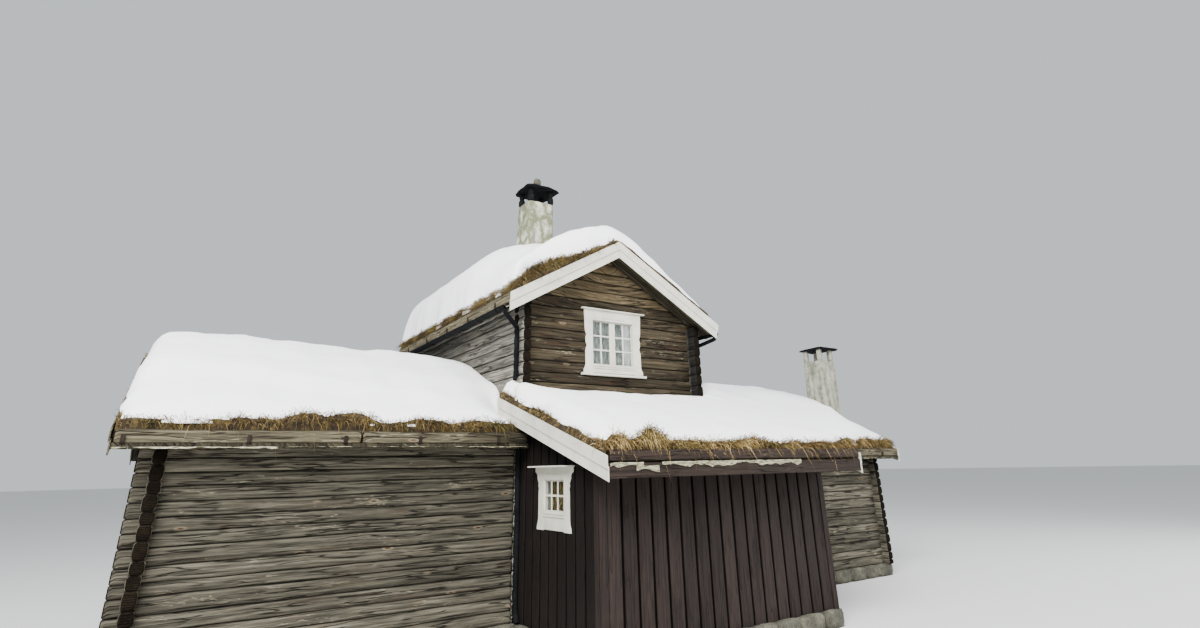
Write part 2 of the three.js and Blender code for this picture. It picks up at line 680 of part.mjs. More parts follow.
function addMainRoof() {
    const roof = MAIN_ROOF;
    const turfTop = DECK + MAIN_TURF;
    const hole = chimneyHole(MAIN_CHIMNEY, 0, HIGH);
    piece('main_roof_boards', cut(prismY(gableLayer(roof, 0, DECK), roof.from, roof.to), hole), BOARDS);
    piece('main_turf', cut(prismY(gableLayer(roof, DECK + GAP, turfTop, TURF_LOG + GAP),
        roof.from, roof.to), hole), TURF_SOD);
    const thickness = (s, t) => THREE.MathUtils.lerp(snowThickness(roof, MAIN_SNOW, t),
        snowThickness(roof, MAIN_DRIFT, t), THREE.MathUtils.smoothstep(s, DRIFT_START, DRIFT_END));
    piece('main_snow', cut(snowBlanket(roof, thickness, turfTop, 'y'), hole), SNOW);
    const gable = mainGableBoards(roof);
    piece('main_front_bargeboards', prismY(gable, roof.from - BARGE, roof.from - GAP), WHITE_PAINT);
    piece('main_back_bargeboards', prismY(gable, roof.to + GAP, roof.to + BARGE), WHITE_PAINT);
    for (const [side, eave, inward] of [['left', roof.low, 1], ['right', roof.high, -1]]) {
        const inner = eave + inward * TURF_LOG;
        const section = [
            [eave, deckZ(roof, eave) + DECK + GAP],
            [inner, deckZ(roof, inner) + DECK + GAP],
            [inner, deckZ(roof, inner) + DECK + MAIN_LOG_HEIGHT],
            [eave, deckZ(roof, eave) + DECK + MAIN_LOG_HEIGHT],
        ];
        const log = prismY(inward > 0 ? section : section.reverse(), roof.from, roof.to);
        piece(`main_${side}_turf_log`, log, BOARDS);
    }
}

// Outline of the white boards on the main gables: cut upright at the left eave, and on the right
// carried past the eave to cover the gutter's end and cut back underneath
function mainGableBoards(roof) {
    const { below, above, past, slant } = MAIN_BARGE;
    const tip = roof.high + past;
    return [
        [roof.low, deckZ(roof, roof.low) - below],
        [roof.ridge, deckZ(roof, roof.ridge) - below],
        [tip - slant, deckZ(roof, tip - slant) - below],
        [tip, deckZ(roof, tip) + above],
        [roof.ridge, deckZ(roof, roof.ridge) + above],
        [roof.low, deckZ(roof, roof.low) + above],
    ];
}

// One layer of the annex roof. It ends at the front gable, runs a little past it on the left,
// and on the right climbs beside the middle part to the wings' ridge.
function annexLayer(section, x0, x1) {
    const layer = prismX(section, x0, x1);
    const behindMain = box(MAIN_LEFT - GAP, MAIN_RIGHT + GAP, -GAP, RIDGE_Y + PAST, 0, HIGH);
    const behindLeft = box(x0 - PAST, MAIN_LEFT + WALL, ANNEX_BACK_LEFT, RIDGE_Y + PAST, 0, HIGH);
    return cut(layer, behindMain, behindLeft);
}

function annexSection(lower, upper, front, back) {
    return [
        [front, annexDeckZ(front) + lower],
        [back, annexDeckZ(back) + lower],
        [back, annexDeckZ(back) + upper],
        [front, annexDeckZ(front) + upper],
    ];
}

function annexSnowSection(turfTop) {
    const front = ANNEX_EAVE + ANNEX_LOG;
    const back = RIDGE_Y - GAP;
    const points = [[front, annexDeckZ(front) + turfTop + GAP], [back, annexDeckZ(back) + turfTop + GAP]];
    const { edge, brow, middle, wall } = ANNEX_SNOW;
    const places = [
        [back, middle], [SNOW_SWELL_REACH, middle], [SNOW_WALL_REACH, wall],
        [-SNOW_WALL_REACH, wall], [-SNOW_SWELL_REACH, middle], [SNOW_FULL_Y, middle],
        [SNOW_BROW_Y, brow], [front, edge],
    ];
    for (const [y, thick] of places) {
        points.push([y, annexDeckZ(y) + turfTop + thick]);
    }
    return points;
}

function addAnnexRoof() {
    const x0 = ANNEX_LEFT - ANNEX_VERGE;
    const x1 = ANNEX_RIGHT + ANNEX_VERGE;
    const turfTop = DECK + ANNEX_TURF;
    const inner0 = x0 + BARGE + GAP;
    const inner1 = x1 - CHEEK - GAP;
    const foot = ANNEX_EAVE_Z - ANNEX_FASCIA;
    const deck = [
        [ANNEX_EAVE, foot],
        [ANNEX_EAVE + BARGE, foot],
        [ANNEX_EAVE + BARGE, annexDeckZ(ANNEX_EAVE + BARGE)],
        [RIDGE_Y - GAP, annexDeckZ(RIDGE_Y - GAP)],
        [RIDGE_Y - GAP, annexDeckZ(RIDGE_Y - GAP) + DECK],
        [ANNEX_EAVE, ANNEX_EAVE_Z + DECK],
    ];
    piece('annex_roof_boards', annexLayer(deck, inner0, inner1), BOARDS);
    const turf = annexSection(DECK + GAP, turfTop, ANNEX_EAVE + ANNEX_LOG + GAP, RIDGE_Y - GAP);
    piece('annex_turf', cut(annexLayer(turf, inner0, inner1), ...frontLogEnds()), TURF_SOD);
    const snow = annexLayer(annexSnowSection(turfTop), inner0, inner1);
    piece('annex_snow', cut(snow, ...frontLogEnds()), SNOW);
    const log = annexSection(DECK + GAP, DECK + ANNEX_LOG_HEIGHT, ANNEX_EAVE, ANNEX_EAVE + ANNEX_LOG);
    piece('annex_turf_log', prismX(log, inner0, inner1), BOARDS);
    const tip = ANNEX_EAVE - ANNEX_TIP;
    const left = annexSection(-ANNEX_BARGE.below, ANNEX_BARGE.above, tip, ANNEX_BACK_LEFT);
    piece('annex_left_bargeboard', prismX(left, x0, x0 + BARGE), WHITE_PAINT);
    const meet = RIGHT_ROOF.low - GAP;
    const cheek = [
        [tip, annexDeckZ(tip) - ANNEX_BARGE.below],
        [meet, annexDeckZ(meet) - ANNEX_BARGE.below],
        [meet, deckZ(RIGHT_ROOF, meet)],
        [RIDGE_Y - GAP, deckZ(RIGHT_ROOF, RIDGE_Y)],
        [RIDGE_Y - GAP, annexDeckZ(RIDGE_Y) + ANNEX_BARGE.above],
        [tip, annexDeckZ(tip) + ANNEX_BARGE.above],
    ];
    piece('annex_right_bargeboard', prismX(cheek, x1 - CHEEK, x1), WHITE_PAINT);
}

// Chimneys

// Four legs on a stack's corners, which carry its cap
function capLegs(chimney, z0, z1) {
    const { x0, x1, y0, y1 } = chimney;
    const legs = [];
    for (const x of [x0, x1 - CAP_LEG]) {
        for (const y of [y0, y1 - CAP_LEG]) {
            legs.push(box(x, x + CAP_LEG, y, y + CAP_LEG, z0, z1));
        }
    }
    return legs;
}

// Split slab with a thin uneven edge and a hump of smaller slabs in the middle
function capSlab(chimney, cap, z0) {
    const outline = [
        [0, z0], [1, z0], [1, z0 + cap.edge], [cap.humpShare, z0 + cap.hump], [0, z0 + cap.hump],
    ].map(([radius, z]) => new THREE.Vector2(radius, z));
    const slab = new THREE.LatheGeometry(outline, CAP_SIDES).rotateX(Math.PI / 2);
    const halfX = (chimney.x1 - chimney.x0) / 2 + cap.overhang;
    const halfY = (chimney.y1 - chimney.y0) / 2 + cap.overhang;
    const places = slab.attributes.position;
    for (let i = 0; i < places.count; i += 1) {
        const turn = Math.atan2(places.getY(i), places.getX(i));
        const square = 1 / Math.max(Math.abs(Math.cos(turn)), Math.abs(Math.sin(turn)));
        const reach = Math.min(square, CAP_CORNER) * (1 + cap.wobble * Math.sin(3 * turn + 1));
        places.setX(i, places.getX(i) * halfX * reach);
        places.setY(i, places.getY(i) * halfY * reach);
    }
    return slab.translate((chimney.x0 + chimney.x1) / 2, (chimney.y0 + chimney.y1) / 2, 0);
}

// The main chimney's cap stands on slate legs, with a stone on top; the right one's legs are masonry.
function addChimneys() {
    const { x0, x1, y0, y1, stack, top } = MAIN_CHIMNEY;
    piece('main_chimney', box(x0, x1, y0, y1, 0, stack), LIMEWASH);
    const { radius, height, sunk } = CAP_STONE;
    const stone = new THREE.SphereGeometry(radius, 8, 5).rotateX(Math.PI / 2);
    stone.scale(1, 1, height / (2 * radius));
    stone.translate((x0 + x1) / 2, (y0 + y1) / 2, top + MAIN_CAP.hump - sunk + height / 2);
    const cap = join(capSlab(MAIN_CHIMNEY, MAIN_CAP, top), stone,
        ...capLegs(MAIN_CHIMNEY, stack + GAP, top + LEG_JOINT));
    piece('main_chimney_cap', cap, SLATE);
    const right = RIGHT_CHIMNEY;
    const body = box(right.x0, right.x1, right.y0, right.y1, 0, right.stack);
    piece('right_chimney',
        join(body, ...capLegs(right, right.stack - LEG_JOINT, right.top)), LIMEWASH);
    piece('right_chimney_cap', capSlab(right, RIGHT_CAP, right.top + GAP), SLATE);
}

// Windows

// Casing, trim and pane in a frame of its own: x along the wall, y into it, z up.
function addWindow(name, size, place, withCurtain) {
    const { halfTrim, z0, z1, halfGlass, gz0, gz1 } = size;
    const holder = new THREE.Group();
    holder.position.set(place.x, place.y, 0);
    holder.rotation.z = place.turn;
    house.add(holder);
    const opening = box(-halfGlass, halfGlass, -PAST, PAST, gz0, gz1);
    const trim = box(-halfTrim, halfTrim, -TRIM, -GAP, z0, z1);
    const ledge = -TRIM - LEDGE;
    const sill = box(-halfTrim - SILL.left, halfTrim + SILL.right, ledge, -GAP,
        z0 - SILL.below, z0 + SILL.above);
    const head = box(-halfTrim - HEAD.left, halfTrim + HEAD.right, ledge, -GAP, z1 - HEAD.below, z1);
    const lining = box(-halfGlass - CASING + GAP, halfGlass + CASING - GAP, -TRIM / 2, FRAME_DEPTH,
        gz0 - CASING + GAP, gz1 + CASING - GAP);
    piece(`${name}_frame`, cut(join(trim, sill, head, lining), opening), WHITE_PAINT, holder);
    const pane = box(-halfGlass + GAP, halfGlass - GAP, PANE_BACK, PANE_BACK + GLASS,
        gz0 + GAP, gz1 - GAP);
    piece(`${name}_glass`, pane, GLASS_PANE, holder);
    if (withCurtain) {
        const curtain = box(-halfGlass - CURTAIN_PAST, halfGlass + CURTAIN_PAST, FRAME_DEPTH + GAP,
            FRAME_DEPTH + GAP + CURTAIN, gz0 - CURTAIN_SILL, gz1 + CURTAIN_PAST);
        piece(`${name}_curtain`, curtain, LACE, holder);
    }
}

function addWindows() {
    const u = UPPER_WINDOW;
    const upper = {
        halfTrim: (u.x1 - u.x0) / 2, z0: u.z0, z1: u.z1,
        halfGlass: (u.gx1 - u.gx0) / 2, gz0: u.gz0, gz1: u.gz1,
    };
    const middle = (u.gx0 + u.gx1) / 2;
    addWindow('upper_window', upper, { x: middle, y: 0, turn: 0 }, true);
    addWindow('back_window', upper, { x: middle, y: HOUSE_DEPTH, turn: Math.PI }, false);
    const w = ANNEX_WINDOW;
    const small = {
        halfTrim: w.width / 2, z0: w.z0, z1: w.z1, halfGlass: w.glassWidth / 2, gz0: w.gz0, gz1: w.gz1,
    };
    addWindow('annex_window', small, { x: ANNEX_LEFT, y: w.middle, turn: -Math.PI / 2 }, true);
}

// Gutters and downpipes

// Half-round channel under an eave of the raised part, joined to the pipe that drains it.
// outward is -1 on the left side and 1 on the right.
function gutter(eave, outward, route) {
    const x = eave + outward * (GUTTER_RADIUS + GAP);
    const z = deckZ(MAIN_ROOF, eave) + GUTTER_LIFT;
    const arc = (radius, i) => {
        const turn = Math.PI * (1 + i / GUTTER_STEPS);
        return [x + radius * Math.cos(turn), z + radius * Math.sin(turn)];
    };
    const profile = [];
    for (let i = 0; i <= GUTTER_STEPS; i += 1) {
        profile.push(arc(GUTTER_RADIUS, i));
    }
    for (let i = GUTTER_STEPS; i >= 0; i -= 1) {
        profile.push(arc(GUTTER_RADIUS - GUTTER_SHEET, i));
    }
    const drop = z - GUTTER_RADIUS;
    const channel = prismY(profile, MAIN_ROOF.from, MAIN_ROOF.to);
    const outlet = [
        new THREE.Vector3(x, PIPE_TOP_Y, drop + GUTTER_SHEET / 2),
        new THREE.Vector3(x, PIPE_TOP_Y, drop - PIPE_DROP),
    ];
    return join(channel, pipe([...outlet, ...route(drop)]));
}

// The left pipe runs down beside the side wall's log ends, the right one behind the gable's.
function addGutters() {
    const offWall = PIPE_RADIUS + PIPE_OFF_WALL;
    const down = (x, y, drop) => [
        new THREE.Vector3(x, y, drop - PIPE_WALL_DROP),
        new THREE.Vector3(x, y, drop - PIPE_WALL_DROP - PIPE_BEND),
        new THREE.Vector3(x, y, PIPE_FOOT_Z),
    ];
    const left = gutter(MAIN_ROOF.low, -1, (drop) => down(MAIN_LEFT - offWall, PIPE_LEFT_Y, drop));
    const right = gutter(MAIN_ROOF.high, 1, (drop) => [
        new THREE.Vector3(MAIN_RIGHT + PIPE_ROUND_CORNER, WALL, drop - PIPE_CORNER_DROP),
        ...down(MAIN_RIGHT + offWall, PIPE_RIGHT_Y, drop),
    ]);
    piece('main_left_gutter', left, BLACK_TIN);
    piece('main_right_gutter', right, BLACK_TIN);
}

// Round pipe along a path with tight bends
function pipe(points) {
    const path = new THREE.CatmullRomCurve3(points, false, 'catmullrom', 0.15);
    const ring = new THREE.Shape();
    for (let i = 0; i < PIPE_SIDES; i += 1) {
        const turn = (i / PIPE_SIDES) * 2 * Math.PI;
        const point = [PIPE_RADIUS * Math.cos(turn), PIPE_RADIUS * Math.sin(turn)];
        if (i === 0) {
            ring.moveTo(...point);
        } else {
            ring.lineTo(...point);
        }
    }
    return new THREE.ExtrudeGeometry(ring, { steps: PIPE_STEPS, bevelEnabled: false, extrudePath: path });
}

addFoundation();
addFloors();
addWings();
addMainWalls();
addAnnexWalls();
addLeftRoof();
addRightRoof();
addMainRoof();
addAnnexRoof();
addChimneys();
addWindows();
addGutters();

// The origin lies on the ground under the middle of the whole house.
const middle = new THREE.Box3().setFromObject(house).getCenter(new THREE.Vector3());
house.position.set(-middle.x, -middle.y, 0);

export default group;
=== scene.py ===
"""Looks of a log cabin with sod roofs under snow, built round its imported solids.

Metres, +Z up. X runs along the front and Y from the front to the back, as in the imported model.
Pieces are worked out from the house's front left corner at ground level, and moved to the
model's own place as they are put into a mesh.
"""

import math
from functools import partial

import bpy
import numpy as np
from bpy.props import FloatProperty, FloatVectorProperty, IntProperty, PointerProperty
from mathutils import Matrix, Vector


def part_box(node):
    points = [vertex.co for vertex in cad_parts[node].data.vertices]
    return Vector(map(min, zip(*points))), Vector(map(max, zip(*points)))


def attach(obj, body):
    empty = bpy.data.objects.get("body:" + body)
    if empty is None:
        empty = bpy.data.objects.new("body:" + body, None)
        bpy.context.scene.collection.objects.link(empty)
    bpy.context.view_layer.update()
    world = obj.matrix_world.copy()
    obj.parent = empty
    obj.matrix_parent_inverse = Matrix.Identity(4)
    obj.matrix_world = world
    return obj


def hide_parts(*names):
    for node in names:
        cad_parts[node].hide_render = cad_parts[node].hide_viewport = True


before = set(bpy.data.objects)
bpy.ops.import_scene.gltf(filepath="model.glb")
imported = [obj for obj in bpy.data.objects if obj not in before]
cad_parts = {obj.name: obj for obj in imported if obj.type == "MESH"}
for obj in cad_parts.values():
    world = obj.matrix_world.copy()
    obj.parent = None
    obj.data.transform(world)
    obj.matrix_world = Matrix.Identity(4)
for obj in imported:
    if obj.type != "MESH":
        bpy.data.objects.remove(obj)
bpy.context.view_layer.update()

bl_info = {
    "name": "Log cabin looks",
    "version": (1, 0, 0),
    "blender": (4, 5, 0),
    "location": "View3D > Sidebar > Cabin",
    "description": "Logs, sod, snow, boards, windows and chimneys of a log cabin",
    "category": "Object",
}

CORNER = Vector((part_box("left_wing_gable_wall")[0].x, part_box("main_front_wall")[0].y, 0.0))


def span(node):
    """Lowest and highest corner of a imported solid, measured from the house's front left corner."""
    low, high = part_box(node)
    return low - CORNER, high - CORNER


# Planes of the house, measured from its front left corner at ground level
MAIN_LEFT = span("main_left_wall")[0].x
MAIN_RIGHT = span("main_right_wall")[1].x
HOUSE_RIGHT = span("right_wing_gable_wall")[1].x
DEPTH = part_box("main_back_wall")[1].y - CORNER.y
ANNEX_FRONT = span("annex_front_wall")[0].y
ANNEX_LEFT = span("annex_front_wall")[0].x
ANNEX_RIGHT = span("annex_front_wall")[1].x
MAIN_RIDGE = 6.55
BASE = span("main_front_wall")[0].z
RIDGE_Y = DEPTH / 2
WALL = 0.15
STUB = -span("left_wing_front_wall")[0].x
GABLE_ENDS_LEFT = MAIN_LEFT - span("main_front_wall")[0].x
GABLE_ENDS_RIGHT = span("main_front_wall")[1].x - MAIN_RIGHT
SIDE_ENDS = -span("main_left_wall")[0].y

# Roof layers, measured straight up, as the solids have them
DECK = 0.07
TURF = 0.20
MAIN_TURF = 0.25
ANNEX_TURF = 0.235
TURF_LOG = 0.11
ANNEX_LOG = 0.08

# Log courses
WING_COURSE = 0.164
MAIN_COURSE = 0.19
STUB_START = BASE + 17 * MAIN_COURSE

# The camera of the photograph: its place before the left wing, its heading and its lens
EYE = Vector((0.126, -9.405, 2.30)) + CORNER
HEADING = math.radians(33.63)
LOOK_UP = math.radians(20.40)
ROLL = math.radians(1.27)
PHOTO_WIDTH = 1200
PHOTO_HEIGHT = 628
FOCAL_PIXELS = 626.5
PRINCIPAL_Y = 235.0
SENSOR = 36.0

# Edges sharper than this are shaded as edges
SHARP = math.radians(42)


# Numbers and arrays


def linear(hex_colour):
    """Linear RGBA of an sRGB colour written as '#rrggbb'."""
    parts = [int(hex_colour[i:i + 2], 16) / 255 for i in (1, 3, 5)]
    return tuple(c / 12.92 if c <= 0.04045 else ((c + 0.055) / 1.055) ** 2.4 for c in parts) + (1.0,)


def shades(colour, *factors):
    """Linear RGBA copies of a linear colour, one for each factor, none over 1."""
    return [tuple(min(1.0, part * factor) for part in colour[:3]) + (1.0,) for factor in factors]


def waves(x, y, seed, length, octaves=3):
    """Smooth noise of about unit size: a sum of sines of x and y with headings drawn from the seed.

    Octave k has a wave length of length / 2**k and a weight of 1 / 1.7**k.
    """
    rng = np.random.default_rng(seed)
    total = np.zeros(np.broadcast(x, y).shape)
    weight = 1.0
    for _ in range(octaves):
        for _ in range(3):
            turn, phase = rng.uniform(0, 2 * math.pi, 2)
            k = 2 * math.pi / (length * rng.uniform(0.8, 1.3))
            total += weight * np.sin(k * (math.cos(turn) * x + math.sin(turn) * y) + phase)
        weight /= 1.7
        length /= 2
    return total / 3


def bent(value, power):
    """Signed power, sign(v) * |v| ** power, which squares up a circle's cosine and sine."""
    return np.sign(value) * np.abs(value) ** power


def smooth_max(a, b, blend):
    """Larger of two heights with a fillet: (a + b + sqrt((a - b)**2 + blend**2)) / 2."""
    return (a + b + np.sqrt((a - b) ** 2 + blend ** 2)) / 2


def soft_step(value, start, end):
    """0 before start, 1 past the end, and a smooth 3u**2 - 2u**3 between them."""
    u = np.clip((value - start) / (end - start), 0, 1)
    return u * u * (3 - 2 * u)


def heaped(place, heaps):
    """Height of heaps at a place: a sum of bells h * exp(-((place - middle) / width)**2)."""
    total = np.zeros(np.shape(place))
    for middle, width, height in heaps:
        total = total + height * np.exp(-((place - middle) / width) ** 2)
    return total


def flat_points(x, y, z):
    """Points from their three coordinates."""
    return np.stack(np.broadcast_arrays(x, y, z), -1)


def points_along(axis, along, across, z):
    """Points from places along an axis, 0 for X and 1 for Y, and across it, and heights."""
    return flat_points(across, along, z) if axis else flat_points(along, across, z)


# Meshes


class Patch:
    """One surface: vertices, quads, triangles, texture coordinates, tone and material number.

    The cap's material covers the triangles, and the first and the last cap_band quads.
    """

    def __init__(self, v, quads, tris, uv, tone=0.5, material=0, cap_material=None, cap_band=0):
        self.v = np.asarray(v, float).reshape(-1, 3)
        self.quads = np.asarray(quads, int).reshape(-1, 4)
        self.tris = np.asarray(tris, int).reshape(-1, 3)
        self.uv = np.asarray(uv, float).reshape(-1, 2)
        self.tone = np.broadcast_to(np.asarray(tone, float), (len(self.v),)).copy()
        self.material = material
        self.cap_material = material if cap_material is None else cap_material
        self.cap_band = cap_band

    def outward(self):
        """Turns the faces round if the signed volume under them is negative."""
        q, t = self.quads, self.tris
        tri = np.concatenate([q[:, [0, 1, 2]], q[:, [0, 2, 3]], t])
        centred = self.v - self.v.mean(0)
        a, b, c = centred[tri[:, 0]], centred[tri[:, 1]], centred[tri[:, 2]]
        if np.einsum("ij,ij->i", a, np.cross(b, c)).sum() < 0:
            self.quads = q[:, ::-1]
            self.tris = t[:, ::-1]
        return self


def grid_quads(n, m, ring=False):
    """Quads of an n by m grid of vertices, closed into a ring along m if asked."""
    i = np.arange(n - 1)[:, None]
    j = np.arange(m if ring else m - 1)[None, :]
    k = (j + 1) % m
    return np.stack([i * m + j, i * m + k, (i + 1) * m + k, (i + 1) * m + j], -1).reshape(-1, 4)


def tube(rings, tone=0.5, material=0, cap_material=None, cap_rings=0):
    """Closed body from n rings of m points, with a fan to the middle at both ends.

    Texture coordinates run in metres along the body and round it. The cap's material also covers
    the first and last cap_rings bands of faces.
    """
    n, m = rings.shape[:2]
    middle = rings.mean(1)
    along = np.concatenate([[0], np.cumsum(np.linalg.norm(np.diff(middle, axis=0), axis=1))])
    step = np.linalg.norm(np.roll(rings, -1, 1) - rings, axis=2)
    around = np.cumsum(step, 1) - step
    uv = np.stack([np.broadcast_to(along[:, None], (n, m)), around], -1)
    v = np.concatenate([rings.reshape(-1, 3), np.stack([rings[0].mean(0), rings[-1].mean(0)])])
    uv = np.concatenate([uv.reshape(-1, 2), uv[0].mean(0)[None], uv[-1].mean(0)[None]])
    j = np.arange(m)
    k = (j + 1) % m
    first = np.stack([np.full(m, n * m), k, j], -1)
    last = np.stack([np.full(m, n * m + 1), (n - 1) * m + j, (n - 1) * m + k], -1)
    return Patch(v, grid_quads(n, m, True), np.concatenate([first, last]), uv, tone, material,
                 cap_material, cap_rings * m).outward()


def sheet_body(top, bottom):
    """Closed body between two n by m grids, joined round their rim."""
    n, m = top.shape[:2]
    quads = grid_quads(n, m)
    rim = np.concatenate([
        np.arange(m), np.arange(1, n) * m + m - 1,
        (n - 1) * m + np.arange(m - 2, -1, -1), np.arange(n - 2, 0, -1) * m,
    ])
    after = np.roll(rim, -1)
    walls = np.stack([rim, after, after + n * m, rim + n * m], -1)
    uv = np.concatenate([top[..., :2].reshape(-1, 2), bottom[..., :2].reshape(-1, 2)])
    v = np.concatenate([top.reshape(-1, 3), bottom.reshape(-1, 3)])
    faces = np.concatenate([quads[:, ::-1], quads + n * m, walls])
    return Patch(v, faces, np.zeros((0, 3)), uv).outward()


# How far each patch's grain is moved on from the one before, in metres
UV_STEP = (3.71, 1.37)


def piece(name, patches, looks, replaces=(), smooth=True):
    """Puts patches into one mesh object at the origin, which rides on the house.

    looks are the names of its finishes. Each patch's texture coordinates move on by a step, so
    that no two have the same grain.
    """
    v = np.concatenate([p.v for p in patches]) + np.array(CORNER)
    uv = np.concatenate([p.uv + np.array(UV_STEP) * k for k, p in enumerate(patches)])
    tone = np.concatenate([p.tone for p in patches])
    loops, sizes, numbers = [], [], []
    start = 0
    for p in patches:
        loops += [(p.quads + start).ravel(), (p.tris + start).ravel()]
        sizes += [np.full(len(p.quads), 4), np.full(len(p.tris), 3)]
        faces = np.full(len(p.quads), p.material)
        faces[:p.cap_band] = p.cap_material
        faces[len(faces) - p.cap_band:] = p.cap_material
        numbers += [faces, np.full(len(p.tris), p.cap_material)]
        start += len(p.v)
    loops, sizes, numbers = (np.concatenate(parts) for parts in (loops, sizes, numbers))
    mesh = bpy.data.meshes.new(name)
    mesh.vertices.add(len(v))
    mesh.vertices.foreach_set("co", v.astype(np.float32).ravel())
    mesh.loops.add(len(loops))
    mesh.loops.foreach_set("vertex_index", loops.astype(np.int32))
    mesh.polygons.add(len(sizes))
    mesh.polygons.foreach_set("loop_start", (np.cumsum(sizes) - sizes).astype(np.int32))
    mesh.polygons.foreach_set("material_index", numbers.astype(np.int32))
    mesh.polygons.foreach_set("use_smooth", np.full(len(sizes), smooth))
    mesh.update(calc_edges=True)
    mesh.set_sharp_from_angle(angle=SHARP)
    mesh.uv_layers.new(name="UVMap").data.foreach_set("uv", uv[loops].astype(np.float32).ravel())
    mesh.attributes.new("tone", "FLOAT", "POINT").data.foreach_set("value", tone.astype(np.float32))
    for look in looks:
        mesh.materials.append(LOOKS[look])
    made = bpy.data.objects.new(name, mesh)
    bpy.context.scene.collection.objects.link(made)
    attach(made, "root")
    if replaces:
        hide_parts(*replaces)
    return made


def dress(node, look):
    """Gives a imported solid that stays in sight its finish."""
    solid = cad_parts[node]
    solid.data.materials.clear()
    solid.data.materials.append(LOOKS[look])


def slab(low, high, tone=0.5, material=0, chamfer=0.004):
    """Sawn block between two corners, with its grain along its longest side."""
    low, high = np.asarray(low, float), np.asarray(high, float)
    long, wide, thin = np.argsort(-(high - low), kind="stable")
    middle = (low + high) / 2
    first, last = middle.copy(), middle.copy()
    first[long], last[long] = low[long], high[long]
    unit = np.eye(3)
    half = (high - low) / 2
    edge = min(chamfer, half[thin] * 0.4)
    return bar([first, last], half[wide], half[thin], unit[wide], unit[thin], tone, material, edge)


def chamfered(half_wide, half_tall, chamfer):
    """Two coordinates of a rectangle whose corners are cut off: each is +-(half - cut)."""
    x, x_cut = np.array([1, 1, 1, -1, -1, -1, -1, 1]), np.array([1, 0, 0, 1, 1, 0, 0, 1])
    z, z_cut = np.array([-1, -1, 1, 1, 1, 1, -1, -1]), np.array([0, 1, 1, 0, 0, 1, 1, 0])
    return x * (half_wide - x_cut * chamfer), z * (half_tall - z_cut * chamfer)


def bar(stations, half_width, half_height, side, up, tone=0.5, material=0, chamfer=0.004):
    """Rectangular bar with chamfered edges, carried through stations.

    Each ring is station + side * x + up * z with (x, z) on a chamfered rectangle. half_width may
    vary from station to station.
    """
    stations = np.asarray(stations, float)
    wide = np.broadcast_to(np.asarray(half_width, float), (len(stations),))[:, None]
    x, z = chamfered(wide, half_height, chamfer)
    rings = stations[:, None] + x[..., None] * np.asarray(side, float) + z[..., None] * np.asarray(up, float)
    return tube(rings, tone, material)


def pipe(points, radius, sides=10):
    """Round bar through points: ring k is point k plus a circle square to the way there."""
    points = np.asarray(points, float)
    ahead = np.gradient(points, axis=0)
    ahead /= np.linalg.norm(ahead, axis=1)[:, None]
    across = np.cross(ahead, [0.13, 0.31, 0.94])
    across /= np.linalg.norm(across, axis=1)[:, None]
    over = np.cross(ahead, across)
    turn = np.linspace(0, 2 * math.pi, sides, endpoint=False)
    circle = np.cos(turn)[None, :, None] * across[:, None] + np.sin(turn)[None, :, None] * over[:, None]
    return tube(points[:, None] + radius * circle)


def rounded_path(points, reach, steps=6):
    """Polyline with its corners turned into arcs: a parabola over reach on both sides of each corner."""
    points = [np.asarray(p, float) for p in points]
    path = [points[0]]
    for before, corner, after in zip(points, points[1:], points[2:]):
        a = corner + (before - corner) * min(0.5, reach / np.linalg.norm(before - corner))
        b = corner + (after - corner) * min(0.5, reach / np.linalg.norm(after - corner))
        for s in np.linspace(0, 1, steps):
            path.append((1 - s) ** 2 * a + 2 * s * (1 - s) * corner + s ** 2 * b)
    path.append(points[-1])
    return np.array(path)


# Materials

NOISE = "ShaderNodeTexNoise"
RAMP = "ShaderNodeValToRGB"
RANGE = "ShaderNodeMapRange"
MATHS = "ShaderNodeMath"
MAPPING = "ShaderNodeMapping"
MIX = "ShaderNodeMix"
# How a Mix node lays one colour on another: over it, or multiplied by it
OVER = {"data_type": "RGBA"}
TIMES = {"data_type": "RGBA", "blend_type": "MULTIPLY"}
LOOKS = {}


def add(tree, kind, inputs=None, ramp=None, **settings):
    """Adds a node. An input is a value, a node whose first output is linked, or (node, output)."""
    made = tree.nodes.new(kind)
    for key, value in settings.items():
        setattr(made, key, value)
    for key, value in (inputs or {}).items():
        if isinstance(value, bpy.types.Node):
            tree.links.new(value.outputs[0], made.inputs[key])
        elif isinstance(value, tuple) and isinstance(value[0], bpy.types.Node):
            tree.links.new(value[0].outputs[value[1]], made.inputs[key])
        else:
            made.inputs[key].default_value = value
    if ramp:
        stops = made.color_ramp.elements
        while len(stops) < len(ramp):
            stops.new(0.5)
        for stop, (place, colour) in zip(stops, ramp):
            stop.position = place
            stop.color = linear(colour) if isinstance(colour, str) else colour
    return made


def surface(name, shader_values):
    """A material and its shader's uniform values.

    Gives what adds its nodes, the shader, and the object and texture coordinates.
    """
    material = bpy.data.materials.new(name)
    material.use_nodes = True
    material.node_tree.nodes.clear()
    node = partial(add, material.node_tree)
    shader = node("ShaderNodeBsdfPrincipled", shader_values)
    node("ShaderNodeOutputMaterial", {"Surface": shader})
    place = node("ShaderNodeTexCoord")
    LOOKS[name] = material
    return node, shader, (place, "Object"), (place, "UV")


def finish(shader, colour=None, layers=()):
    """Links a colour to the shader, and a chain of bumps, each (height, metres, strength)."""
    tree = shader.id_data
    if colour:
        tree.links.new(colour, shader.inputs["Base Color"])
    last = None
    for height, metres, strength in layers:
        inputs = {"Distance": metres, "Strength": strength, "Height": height}
        if last is not None:
            inputs["Normal"] = last
        last = add(tree, "ShaderNodeBump", inputs)
    if last is not None:
        tree.links.new(last.outputs[0], shader.inputs["Normal"])


